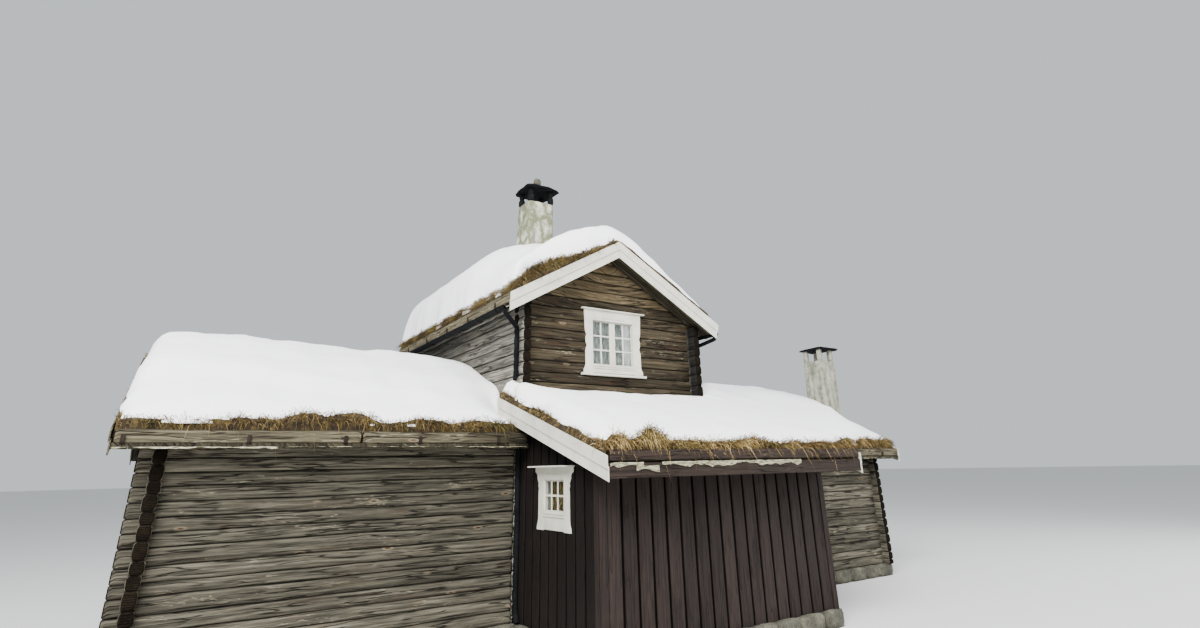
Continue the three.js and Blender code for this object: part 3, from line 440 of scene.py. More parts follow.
def stretched(node, coordinates, scale, offset=(0, 0, 0), detail=4.0, roughness=0.6):
    """Noise over coordinates multiplied by a scale, which is how many features fit in a metre."""
    place = node(MAPPING, {"Vector": coordinates, "Scale": scale, "Location": offset})
    return node(NOISE, {"Vector": place, "Scale": 1.0, "Detail": detail, "Roughness": roughness})


def thin_lines(node, noise, half_width):
    """1 on the lines where a noise crosses its middle, falling to 0 at half_width from it."""
    off = node(MATHS, {0: node(MATHS, {0: noise, 1: 0.5}, operation="SUBTRACT")}, operation="ABSOLUTE")
    return node(RANGE, {"Value": off, "From Max": half_width, "To Min": 1.0, "To Max": 0.0})


def stained(node, base, mask, extent, colour):
    """Lays a colour over a base where a mask times an extent says so."""
    share = node(MATHS, {0: mask, 1: extent}, operation="MULTIPLY")
    return node(MIX, {0: share, 6: (base, 2), 7: linear(colour)}, **OVER)


def timber(name, colours, warm, warm_share, crack, roughness, knots=1.0, shade=(0.55, 1.45), pale=0.5):
    """Pine with grain along its own texture coordinates, which are metres along and round a timber.

    It has growth-ring streaks, fine fibres, warm patches, drying cracks, pale lines that are partly
    worn edges and partly painted highlights, and knots. Each timber's tone attribute, which also
    carries painted shade, makes it lighter or darker.
    """
    node, shader, _, uv = surface(name, {"Roughness": roughness, "Specular IOR Level": 0.12})
    # Growth rings cut lengthwise: streaks 20 to 40 mm wide and up to a metre long
    rings = stretched(node, uv, (1.1, 30, 1), detail=6.0, roughness=0.66)
    base = node(RAMP, {"Fac": rings}, ramp=[(0.34, colours[0]), (0.50, colours[1]), (0.70, colours[2])])
    # Fibres about 5 mm wide
    fibre = stretched(node, uv, (5, 190, 1), detail=5.0)
    fibre_tone = node(RAMP, {"Fac": fibre}, ramp=[(0.32, "#858585"), (0.62, "#ffffff")])
    base = node(MIX, {0: 0.7, 6: base, 7: fibre_tone}, **TIMES)
    # Warm patches a few decimetres long, where the grey skin has worn off
    patch = stretched(node, uv, (1.3, 6, 1), (3.1, 7.7, 0), 6.0, 0.65)
    share = node(RANGE, {"Value": patch, "From Min": 0.66 - 0.3 * warm_share, "From Max": 0.80,
                         "To Max": 0.85})
    base = node(MIX, {0: share, 6: (base, 2), 7: warm}, **OVER)
    # Pale lines 5 to 10 mm wide along the fibres: partly worn edges, partly painted highlights
    worn = thin_lines(node, stretched(node, uv, (1.2, 12, 1), (5.2, 2.9, 0), 3.0, 0.6), 0.014)
    where = node(RANGE, {"Value": stretched(node, uv, (1.0, 4, 1), (7.7, 0.3, 0), 2.0), "From Min": 0.54,
                         "From Max": 0.62, "To Max": pale})
    base = stained(node, base, worn, where, "#a39a84")
    # Drying cracks: dark lines 5 to 10 mm wide
    line = thin_lines(node, stretched(node, uv, (0.7, 12, 1), (9.3, 1.7, 0), 2.5, 0.5), 0.024)
    where = node(RANGE, {"Value": stretched(node, uv, (1.3, 3.5, 1), (1.9, 4.1, 0), 2.0), "From Min": 0.44,
                         "From Max": 0.52})
    cracks = node(MATHS, {0: line, 1: where}, operation="MULTIPLY")
    base = stained(node, base, cracks, crack, "#0f0c09")
    # Knots 20 to 60 mm across with pale rims, in a third of the cells
    cells = node("ShaderNodeTexVoronoi", {"Vector": node(MAPPING, {"Vector": uv, "Scale": (1.9, 6, 1)}),
                                          "Scale": 1.0})
    chosen = node(RANGE, {"Value": (cells, "Color"), "From Min": 0.65, "From Max": 0.67, "To Max": knots})
    rim = node(RANGE, {"Value": cells, "From Min": 0.10, "From Max": 0.17, "To Min": 0.5, "To Max": 0.0})
    base = stained(node, base, rim, chosen, "#94826a")
    knot = node(RANGE, {"Value": cells, "From Min": 0.06, "From Max": 0.11, "To Min": 0.85, "To Max": 0.0})
    base = stained(node, base, knot, chosen, "#2c1b10")
    # Each timber has a tone of its own, and the tone attribute also carries painted shade at seams and in
    # shaded places
    tone = node("ShaderNodeAttribute", attribute_name="tone")
    lift = node(RANGE, {"Value": (tone, "Fac"), "To Min": shade[0], "To Max": shade[1]})
    base = node(MIX, {0: 1.0, 6: (base, 2), 7: lift}, **TIMES)
    finish(shader, base.outputs[2], [(cracks, -0.016, 1.0), (rings, 0.007, 0.8), (fibre, 0.002, 0.6)])


def end_grain(name, dark, light):
    """Sawn log end: growth rings about 6 mm apart under dark weathering and blotches."""
    node, shader, spot, _ = surface(name, {"Roughness": 0.95, "Specular IOR Level": 0.05})
    rings = node("ShaderNodeTexWave", {"Vector": spot, "Scale": 26.0, "Distortion": 4.0, "Detail": 3.0,
                                       "Detail Scale": 1.5}, wave_type="RINGS")
    base = node(RAMP, {"Fac": rings}, ramp=[(0.2, dark), (0.9, light)])
    blotch = node(NOISE, {"Vector": spot, "Scale": 9.0, "Detail": 5.0})
    shade = node(RANGE, {"Value": blotch, "From Min": 0.35, "From Max": 0.65, "To Min": 0.45})
    base = node(MIX, {0: 1.0, 6: base, 7: shade}, **TIMES)
    finish(shader, base.outputs[2], [(rings, 0.003, 0.5), (blotch, 0.01, 0.5)])


def mottled(name, colours, scale, depth, shader_values, fine=8.0, stretch=(1, 1, 1)):
    """Mineral, metal or earthy surface: three colours by noise, with coarse and fine relief.

    scale is how many features there are in a metre, and depth the coarse relief in metres.
    """
    node, shader, spot, _ = surface(name, shader_values)
    at = node(MAPPING, {"Vector": spot, "Scale": stretch})
    coarse = node(NOISE, {"Vector": at, "Scale": scale, "Detail": 6.0, "Roughness": 0.6})
    grit = node(NOISE, {"Vector": at, "Scale": scale * fine, "Detail": 4.0, "Roughness": 0.65})
    blend = node(MIX, {0: 0.35, 2: coarse, 3: grit}, data_type="FLOAT")
    base = node(RAMP, {"Fac": blend}, ramp=[(0.37, colours[0]), (0.5, colours[1]), (0.63, colours[2])])
    finish(shader, base.outputs[0], [(coarse, depth, 0.8), (grit, depth / 6, 0.7)])


def white_paint(colour):
    """Oil paint brushed on planed pine: brush marks along the board, grey dirt and bare flecks."""
    node, shader, spot, uv = surface("white oil paint", {"Roughness": 0.5})
    brush = stretched(node, uv, (3, 180, 1))
    dirt = node(NOISE, {"Vector": spot, "Scale": 3.5, "Detail": 6.0, "Roughness": 0.65})
    dirty, plain, clean = shades(colour, 0.78, 1.0, 1.12)
    base = node(RAMP, {"Fac": dirt}, ramp=[(0.30, dirty), (0.52, plain), (0.75, clean)])
    bare = node(RANGE, {"Value": stretched(node, uv, (6, 45, 1), detail=6.0, roughness=0.7),
                        "From Min": 0.68, "From Max": 0.73, "To Max": 0.8})
    base = node(MIX, {0: bare, 6: base, 7: linear("#6f695d")}, **OVER)
    finish(shader, base.outputs[2], [(brush, 0.0008, 0.5), (bare, -0.001, 0.5)])


def settled_snow(colour):
    """Settled snow: light scatters a few centimetres inside it, under a crust with fine grains."""
    node, shader, spot, _ = surface("settled snow", {
        "Roughness": 0.75, "Specular IOR Level": 0.3, "Subsurface Weight": 0.5,
        "Subsurface Radius": (0.06, 0.09, 0.12), "Subsurface Scale": 0.35,
    })
    drift = node(NOISE, {"Vector": spot, "Scale": 1.4, "Detail": 4.0})
    crust = node(NOISE, {"Vector": spot, "Scale": 24.0, "Detail": 6.0, "Roughness": 0.6})
    grain = node(NOISE, {"Vector": spot, "Scale": 240.0, "Detail": 2.0})
    base = node(RAMP, {"Fac": drift}, ramp=[(0.3, shades(colour, 0.95)[0]), (0.7, shades(colour, 1.0)[0])])
    finish(shader, base.outputs[0], [(drift, 0.04, 0.3), (crust, 0.008, 0.35), (grain, 0.0015, 0.5)])


def dry_grass(name, colour, tip, mossy):
    """Dead grass: umber low among the blades, matted and in painted shade, straw with pale tips,
    mossy green in places.

    Clumps about 0.4 m across differ in tone, and moss spreads over patches about a metre wide.
    """
    node, shader, spot, _ = surface(name, {"Roughness": 0.8, "Specular IOR Level": 0.2})
    tone = node("ShaderNodeAttribute", attribute_name="tone")
    clumps = node(NOISE, {"Vector": spot, "Scale": 2.4, "Detail": 4.0, "Roughness": 0.6})
    part = node(MATHS, {0: (tone, "Fac"), 1: 0.55}, operation="MULTIPLY")
    blend = node(MATHS, {0: clumps, 1: 0.9, 2: part}, operation="MULTIPLY_ADD")
    matted, brown, straw = shades(colour, 0.09, 0.34, 1.0)
    base = node(RAMP, {"Fac": blend}, ramp=[(0.44, matted), (0.60, brown), (0.76, straw), (0.98, tip)])
    moss = node(NOISE, {"Vector": spot, "Scale": 1.1, "Detail": 5.0})
    green = node(RANGE, {"Value": moss, "From Min": 0.56, "From Max": 0.64, "To Max": mossy})
    base = node(MIX, {0: green, 6: base, 7: linear("#4c4a1e")}, **OVER)
    finish(shader, base.outputs[2])


def limewash(name, colour, joints, run):
    """Limewash on rough masonry: chalky stones between green-grey joints, and stains that run down.

    The joints are the borders of cells about 0.25 m across and 0.4 m tall, bent by a noise, and
    joints says how strongly they show. run is how many stains there are in a metre.
    """
    node, shader, spot, _ = surface(name, {"Roughness": 0.92, "Specular IOR Level": 0.2})
    runs = node(NOISE, {"Vector": node(MAPPING, {"Vector": spot, "Scale": (run, run, 1.3)}), "Scale": 1.0,
                        "Detail": 6.0, "Roughness": 0.6})
    rough = node(NOISE, {"Vector": spot, "Scale": 11.0, "Detail": 6.0, "Roughness": 0.6})
    fine = node(NOISE, {"Vector": spot, "Scale": 90.0, "Detail": 3.0})
    blend = node(MIX, {0: 0.4, 2: runs, 3: rough}, data_type="FLOAT")
    stain, worn, white = shades(colour, 0.42, 0.72, 1.15)
    base = node(RAMP, {"Fac": blend}, ramp=[(0.39, stain), (0.46, worn), (0.56, white)])
    push = node(NOISE, {"Vector": spot, "Scale": 5.0, "Detail": 2.0})
    moved = node(MIX, {0: 0.22, 6: spot, 7: (push, "Color")}, **OVER)
    tall = node(MAPPING, {"Vector": (moved, 2), "Scale": (4.4, 4.4, 2.7)})
    cells = node("ShaderNodeTexVoronoi", {"Vector": tall, "Scale": 1.0}, feature="DISTANCE_TO_EDGE")
    joint = node(RANGE, {"Value": cells, "From Min": 0.03, "From Max": 0.26, "To Min": joints, "To Max": 0.0})
    base = node(MIX, {0: joint, 6: base, 7: linear("#5c5f45")}, **OVER)
    finish(shader, base.outputs[2], [(joint, -0.012, 0.8), (rough, 0.02, 0.8), (fine, 0.002, 0.6)])


def pane_glass():
    """Drawn window glass: clear, with a faint ripple that bends reflections."""
    node, shader, spot, _ = surface("drawn window glass", {
        "Roughness": 0.02, "Base Color": linear("#dfe8e8"), "Transmission Weight": 1.0, "IOR": 1.45,
    })
    ripple = node(NOISE, {"Vector": node(MAPPING, {"Vector": spot, "Scale": (4, 4, 7)}), "Scale": 1.0,
                          "Detail": 1.0})
    finish(shader, None, [(ripple, 0.002, 0.2)])


def cotton_lace(name, colour):
    """Cotton lace: a net of 2 mm threads 12 mm apart, coarser than life so that it shows.

    Denser sprigs hang in upright stripes a few centimetres wide.
    """
    node, shader, _, uv = surface(name, {"Roughness": 0.9, "Base Color": linear(colour)})
    net = node("ShaderNodeTexBrick", {
        "Vector": uv, "Color1": (0, 0, 0, 1), "Color2": (0, 0, 0, 1), "Mortar": (1, 1, 1, 1),
        "Scale": 1.0, "Mortar Size": 0.002, "Mortar Smooth": 0.4, "Brick Width": 0.012, "Row Height": 0.012,
    }, offset=0.0)
    dense = node(RANGE, {"Value": stretched(node, uv, (22, 5, 1), detail=5.0, roughness=0.65),
                         "From Min": 0.46, "From Max": 0.58})
    cover = node(MATHS, {0: net, 1: dense}, operation="MAXIMUM")
    alpha = node(MATHS, {0: cover, 1: 0.62, 2: 0.14}, operation="MULTIPLY_ADD")
    shader.id_data.links.new(alpha.outputs[0], shader.inputs["Alpha"])
    finish(shader, None, [(cover, 0.001, 0.6)])


def make_looks(colours):
    """Makes every finish of the house once."""
    if "cotton lace" in LOOKS:
        return
    # Sun and rain have taken the brown out of the skin
    timber("silver-grey pine logs", shades(colours.side_logs, 0.3, 1.0, 1.9), linear("#5e4f40"), 0.2, 0.9,
           0.9, shade=(0.08, 2.1))
    # Browned by the sun under the eaves, with pale streaks: dried fibres and painted highlights
    timber("sun-browned pine logs", shades(colours.middle_logs, 0.5, 1.0, 2.0), linear("#3f2a1b"), 0.3, 0.9,
           0.88, 0.7, shade=(0.06, 2.1), pale=0.5)
    # High in the gables the skin has dried to tan, with brown left in the cracks
    timber("sun-dried pine logs", shades(colours.dried_logs, 0.45, 1.0, 1.9), linear("#6b4a2c"), 0.3, 1.0,
           0.9, shade=(0.06, 1.6), pale=0.6)
    # Logs of the low wings: grey-brown, darker in the seams
    timber("grey-brown pine logs", shades(colours.wing_logs, 0.28, 1.0, 2.2), linear("#4b3c2f"), 0.3, 0.95,
           0.9, shade=(0.08, 2.0))
    # Turf-holding timbers, deck edges and plain bargeboards
    timber("weathered sawn boards", shades(colours.eave_timber, 0.26, 1.0, 2.3), linear("#5d503b"), 0.2, 0.9,
           0.9, 0.8, (0.2, 1.8))
    # Brown stain on planed boards: nearly black, with the grain just showing
    timber("dark stained boards", shades(colours.annex_boards, 0.75, 1.0, 1.35), linear("#2b1e19"), 0.1, 0.3,
           0.7, 0.0, (0.2, 1.8), 0.0)
    timber("brown stained trim", shades(colours.trim, 0.6, 1.0, 1.6), linear("#3b2b22"), 0.1, 0.5, 0.75, 0.3,
           pale=0.12)
    timber("scrubbed pine floor", ("#7a6447", "#a48a66", "#c4ad88"), linear("#8a6a48"), 0.2, 0.3, 0.7,
           pale=0.1)
    end_grain("sawn log ends", "#080604", "#1f1912")
    white_paint(colours.white_paint)
    settled_snow(colours.snow)
    dry_grass("dry straw grass", colours.grass, "#ccb27f", 0.3)
    # Moss has grown over the raised part's verge: olive, with little straw left
    dry_grass("moss-grown grass", shades(colours.grass, 0.55)[0][:3], "#7d7040", 0.8)
    # Shorter grass of the older roofs: browner, matted by the snow
    dry_grass("matted brown grass", shades(colours.grass, 0.72)[0][:3], "#8c7a52", 0.65)
    # Cut sod: matted roots and earth
    mottled("dry sod", ("#140e07", "#2c2110", "#54451f"), 9.0, 0.03, {"Roughness": 1.0}, 7.0)
    # Birch bark under the sod: chalky, with dark level lenticels
    mottled("birch bark", ("#2c2a1e", "#7d785f", "#b5b19b"), 1.0, 0.006, {"Roughness": 0.85}, 3.0,
            (14, 14, 60))
    # Rough boards seen in the gaps of the cladding, nearly black: painted shade, as the gaps always lie in
    # shade
    mottled("painted shade behind the gaps", ("#030302", "#060504", "#0a0807"), 4.0, 0.003,
            {"Roughness": 0.95, "Specular IOR Level": 0.03}, 8.0, (1, 1, 0.2))
    limewash("stained limewash", colours.limewash, 0.9, 6.0)
    # The low stack is rendered smooth, so its stones don't show, only long stains
    limewash("streaked limewash", shades(colours.limewash, 0.7)[0][:3], 0.25, 9.0)
    # Split along its grain: dull and dark with shallow steps
    mottled("split slate", ("#050607", "#0b0c0d", "#161717"), 6.0, 0.012,
            {"Roughness": 0.9, "Specular IOR Level": 0.1})
    mottled("field stone", ("#2f2e26", "#454337", "#625f50"), 5.0, 0.02, {"Roughness": 0.9})
    # Forged, with a skin of rust
    mottled("rusty forged iron", ("#241a15", "#45301f", "#6b4330"), 30.0, 0.002,
            {"Roughness": 0.7, "Metallic": 0.5})
    # Rolled sheet under black paint: smooth, with little shine left
    mottled("black painted sheet", ("#070809", "#0c0d0e", "#131516"), 7.0, 0.001,
            {"Roughness": 0.9, "Specular IOR Level": 0.08})
    pane_glass()
    cotton_lace("cotton lace", "#dcdad2")
    cotton_lace("tea-brown cotton lace", "#b8975c")


# Roof planes


class Roof:
    """Gable roof over its packed deck: the ridge's ends, both eaves and the deck's height."""

    def __init__(self, boards, axis, ridge):
        low, high = span(boards)
        self.axis = axis
        self.ridge = ridge
        self.start, self.end = low[axis], high[axis]
        self.low, self.high = low[1 - axis], high[1 - axis]
        self.top = high.z - DECK
        self.pitch = (self.top - low.z) / max(self.high - ridge, ridge - self.low)

    def deck(self, across, blend=0.0):
        """Height of the deck's underside: the ridge's height less the pitch times the way down.

        With a blend the ridge is rounded, by sqrt(d**2 + blend**2) in place of the distance d.
        """
        return self.top - self.pitch * np.sqrt((across - self.ridge) ** 2 + blend ** 2)

    def points(self, along, across, z):
        """Points from places along the ridge and across it, and heights."""
        return points_along(self.axis, along, across, z)


LEFT = Roof("left_wing_roof_boards", 0, RIDGE_Y)
RIGHT = Roof("right_wing_roof_boards", 0, RIDGE_Y)
MAIN = Roof("main_roof_boards", 1, MAIN_RIDGE)
ANNEX_EAVE = span("annex_roof_boards")[0].y
ANNEX_VERGES = (span("annex_left_bargeboard")[0].x, span("annex_right_bargeboard")[1].x)
ANNEX_LEFT_BACK = span("annex_left_bargeboard")[1].y
ANNEX_FASCIA = 0.055
ANNEX_FASCIA_TOP = 0.115
ANNEX_EAVE_Z = span("annex_roof_boards")[0].z + ANNEX_FASCIA
ANNEX_PITCH = (span("annex_roof_boards")[1].z - DECK - ANNEX_EAVE_Z) / (RIDGE_Y - ANNEX_EAVE)
BARGE = 0.03
# The white boards of the main gables end past the right eave and are cut back underneath
MAIN_BARGE_PAST = span("main_front_bargeboards")[1].x - MAIN.high
MAIN_BARGE_SLANT = 0.07


def annex_deck(y):
    """Height of the annex deck's underside: its eave plus its pitch times the way in."""
    return ANNEX_EAVE_Z + ANNEX_PITCH * (y - ANNEX_EAVE)


# Log walls

# Logs of the raised part's gables over this height have dried to a tan
DRIED_FROM = 5.04
LOG_POWER = 2 / 3.8
BEAM_POWER = 2 / 7
# Numbers of a log's finishes: the skin, the grain at its ends and the tan of dried logs
SKIN, END_GRAIN, DRIED = 0, 1, 2
# A log's rounded ends: places from the end in metres, and the share of the section there
LOG_END = (0.0, 0.012, 0.045)
END_FIT = (0.78, 0.92, 1.0)
LOG_TONES = (0.30, 0.72)
# How far the top logs stay below the deck over a wall, and below the ridge in a gable
UNDER_DECK = 0.004
UNDER_RIDGE = 0.03
# Share of a log's tone taken off at its seams: painted shade in the crease between logs
SEAM_SHADE = 0.85
SEAM_OVERLAP = 0.004


def fixed(value):
    """A function of place that is the same everywhere."""
    return lambda place: np.full(np.shape(place), float(value))


def wavy(value, amount, seed, length=1.6):
    """A height that rolls by about amount along a wall."""
    return lambda place: value + amount * waves(place, 0.0, seed, length)


def log(axis, outer, inner, ends, low, high, seed, sizes, power=LOG_POWER, tone=None, material=SKIN):
    """One hewn log along X (axis 0) or Y (axis 1), between the heights low and high.

    Each ring is a squared-up circle: depth a = cos t and height b = sin t, each to a signed power.
    a fills the wall from inner to outer and b the space between the seams, which roll along the
    log as its faces do. Both ends are functions of the height, so a gable's logs follow its roof.
    The tone falls by a smooth step of |b| towards the seams: painted shade in the crease between logs.
    """
    middle = float(low(np.zeros(1))[0] + high(np.zeros(1))[0]) / 2
    start, end = (float(f(np.array([middle]))[0]) for f in ends)
    length = end - start
    count = max(3, int(length / sizes.log_station) + 1)
    edge = np.minimum(LOG_END, np.array([0.0, length / 12, length / 8])) / length
    share = np.concatenate([edge, np.linspace(0, 1, count)[1:-1], 1 - edge[::-1]])[:, None]
    place = start + share * length
    turn = np.linspace(0, 2 * math.pi, sizes.log_sides, endpoint=False)[None]
    a, b = -bent(np.cos(turn), power), bent(np.sin(turn), power)
    fit = np.ones_like(share)
    fit[:3, 0], fit[-3:, 0] = END_FIT, END_FIT[::-1]
    z_low, z_high = low(place), high(place)
    z = (z_low + z_high) / 2 + ((z_high - z_low) / 2 + SEAM_OVERLAP) * b * fit
    roll = sizes.log_roll * waves(place, turn * 0.12, seed, 0.9)
    face = sizes.log_roll * waves(place, 0.0, seed + 1, 3.0)
    outward = np.sign(outer - inner)
    across = (outer + inner) / 2 + (outer - inner) / 2 * a * fit + outward * (roll * fit + face)
    along = ends[0](z) + share * (ends[1](z) - ends[0](z))
    if tone is None:
        tone = np.random.default_rng(seed).uniform(*LOG_TONES)
    # Painted shade: the tone falls towards the seams
    shaded = tone * (1 - SEAM_SHADE * soft_step(np.abs(b), 0.80, 0.94)) + 0 * place
    return tube(points_along(axis, along, across, z), np.append(shaded, [tone, tone]), material, END_GRAIN, 1)


def under_roof(roof, start, end, slack=0.012):
    """Ends of a gable's logs: fixed ones, or where a log of that height meets the roof's slope."""
    def first(z):
        return np.maximum(start, roof.ridge + slack - (roof.top - z) / roof.pitch)

    def last(z):
        return np.minimum(end, roof.ridge - slack + (roof.top - z) / roof.pitch)

    return first, last


def courses(first, course, top, seed, wander):
    """Seam heights from the base: the first one, then one each course with a little wander."""
    heights = np.arange(first, top - course * 0.35, course)
    heights = heights + np.random.default_rng(seed).uniform(-wander, wander, len(heights))
    if first <= BASE:
        heights = heights[1:]
    return np.concatenate([[BASE], heights, [top]])


def log_wall(name, axis, outer, inner, heights, ends, look, seed, sizes, openings=(), painted_shade=None,
             dried=math.inf):
    """Stacked logs between seams, with openings as (from, to, low, high) along the wall.

    ends(z) gives both ends of a log at a height. A function given for painted shade adds its value
    at the vertices v to their tones, and logs over the height dried are paler.
    """
    seams = [wavy(h, sizes.seam_wave, seed + 31 * k) for k, h in enumerate(heights)]
    seams[0], seams[-1] = fixed(heights[0]), fixed(heights[-1])
    patches = []
    for k, (z0, z1) in enumerate(zip(heights, heights[1:])):
        first, last = ends(z0)
        parts = [(first, last, seams[k], seams[k + 1])]
        for s0, s1, low, high in openings:
            if z1 <= low or z0 >= high:
                continue
            parts = [(first, fixed(s0), seams[k], seams[k + 1]), (fixed(s1), last, seams[k], seams[k + 1])]
            if z0 < low - 0.02:
                parts.append((fixed(s0), fixed(s1), seams[k], fixed(low)))
            if z1 > high + 0.02:
                parts.append((fixed(s0), fixed(s1), fixed(high), seams[k + 1]))
        tone = np.random.default_rng(seed + k).uniform(*LOG_TONES)
        for j, (a, b, low, high) in enumerate(parts):
            patches.append(log(axis, outer, inner, (a, b), low, high, seed + 97 * k + 7 * j, sizes, tone=tone,
                               material=DRIED if z0 > dried else SKIN))
    # Painted shade from the given function, added to the vertices' tones
    if painted_shade:
        for p in patches:
            p.tone = np.clip(p.tone + painted_shade(p.v), 0, 1)
    piece(name + "_logs", patches, [look, "sawn log ends", "sun-dried pine logs"], [name + "_wall"])


def make_wing_walls(sizes):
    """Left and right wings: long walls along X and gables along Y, half a course apart."""
    def seams(first, top, seed):
        return courses(first, WING_COURSE, top, seed, sizes.seam_wander)

    def gable_seams(roof, seed):
        return seams(BASE + WING_COURSE / 2, roof.deck(RIDGE_Y) - UNDER_RIDGE, seed)

    def between_ends(first, last):
        return lambda _: (fixed(first), fixed(last))

    def between_slopes(roof):
        return lambda _: under_roof(roof, -STUB, DEPTH + STUB)

    look = "grey-brown pine logs"
    top_right = RIGHT.deck(0.0) - UNDER_DECK
    left = seams(BASE, LEFT.deck(0.0) - UNDER_DECK, 11), between_ends(-STUB, MAIN_LEFT)
    right = seams(BASE, top_right, 12), between_ends(MAIN_RIGHT, HOUSE_RIGHT + STUB)
    left_gable = gable_seams(LEFT, 13), between_slopes(LEFT)
    right_gable = gable_seams(RIGHT, 14), between_slopes(RIGHT)
    for name, axis, outer, inner, (heights, ends), seed in (
        ("left_wing_front", 0, 0.0, WALL, left, 1000),
        ("left_wing_back", 0, DEPTH, DEPTH - WALL, left, 2000),
        ("right_wing_front", 0, 0.0, WALL, right, 3000),
        ("right_wing_back", 0, DEPTH, DEPTH - WALL, right, 4000),
        ("left_wing_gable", 1, 0.0, WALL, left_gable, 5000),
        ("right_wing_gable", 1, HOUSE_RIGHT, HOUSE_RIGHT - WALL, right_gable, 6000),
    ):
        log_wall(name, axis, outer, inner, heights, ends, look, seed, sizes)
    # Logs over the right wing's front wall, under the annex roof where it runs beside the middle part
    upper = np.arange(top_right, annex_deck(0.0) - 0.02, WING_COURSE)
    upper = np.append(upper[:-1], annex_deck(0.0) - 0.006)
    ends = fixed(MAIN_RIGHT), fixed(ANNEX_VERGES[1] - BARGE - 0.01)
    patches = [log(0, 0.0, WALL, ends, fixed(a), fixed(b), 7000 + k, sizes)
               for k, (a, b) in enumerate(zip(upper, upper[1:]))]
    piece("right_wing_front_upper_logs", patches, [look, "sawn log ends"])


def make_main_walls(sizes):
    """Raised middle part: gables along X with a window each, sides along Y, log ends at the top."""
    gable = courses(BASE, MAIN_COURSE, MAIN.deck(MAIN.ridge) - UNDER_RIDGE, 21, sizes.seam_wander)
    low, high = span("upper_window_glass")
    casing = 0.06
    window = (low.x - casing, high.x + casing, low.z - casing, high.z + casing)

    def gable_ends(z):
        if z > STUB_START - 0.05:
            return under_roof(MAIN, MAIN_LEFT - GABLE_ENDS_LEFT, MAIN_RIGHT + GABLE_ENDS_RIGHT)
        return fixed(MAIN_LEFT + WALL), fixed(MAIN_RIGHT - WALL)

    def side_ends(z):
        out = SIDE_ENDS if z > STUB_START - 0.05 else 0.0
        return fixed(-out), fixed(DEPTH + out)

    def shaded_stubs(v):
        """Painted shade: darkens the right side's log ends, which stand in the shade of the eave."""
        return np.where((v[:, 1] < 0.001) & (v[:, 0] > MAIN_RIDGE), -1.0, 0.0)

    for name, outer, inner, seed in (("main_front", 0.0, WALL, 8000),
                                     ("main_back", DEPTH, DEPTH - WALL, 9000)):
        log_wall(name, 0, outer, inner, gable, gable_ends, "sun-browned pine logs", seed, sizes,
                 [window], dried=DRIED_FROM)
    for name, outer, inner, seed in (
        ("main_left", MAIN_LEFT, MAIN_LEFT + WALL, 10000),
        ("main_right", MAIN_RIGHT, MAIN_RIGHT - WALL, 11000),
    ):
        side = courses(BASE + MAIN_COURSE / 2, MAIN_COURSE, MAIN.deck(outer) - UNDER_DECK, 22,
                       sizes.seam_wander)
        log_wall(name, 1, outer, inner, side, side_ends, "silver-grey pine logs", seed, sizes,
                 painted_shade=shaded_stubs)


# Board-clad annex

BOARD_THICK = 0.024
BOARD_PROUD = 0.014
BOARD_GAP = 0.042
# The annex's rows of boards start this far from its corners, beside the corner boards
CORNER_BOARD = 0.09


def board(axis, face, outward, start, end, low, high, thick, tone):
    """Upright board on a wall: a chamfered rectangle raised from low to high at each of its points.

    low and high are heights or functions of the place along the wall, so a top can be sloped.
    """
    depth = thick / 2
    x, y = chamfered((end - start) / 2, depth, 0.003)
    along = (start + end) / 2 + x
    across = face + outward * (depth + y)
    heights = [z(along) if callable(z) else np.full(8, float(z)) for z in (low, high)]
    return tube(np.array([points_along(axis, along, across, z) for z in heights]), tone)


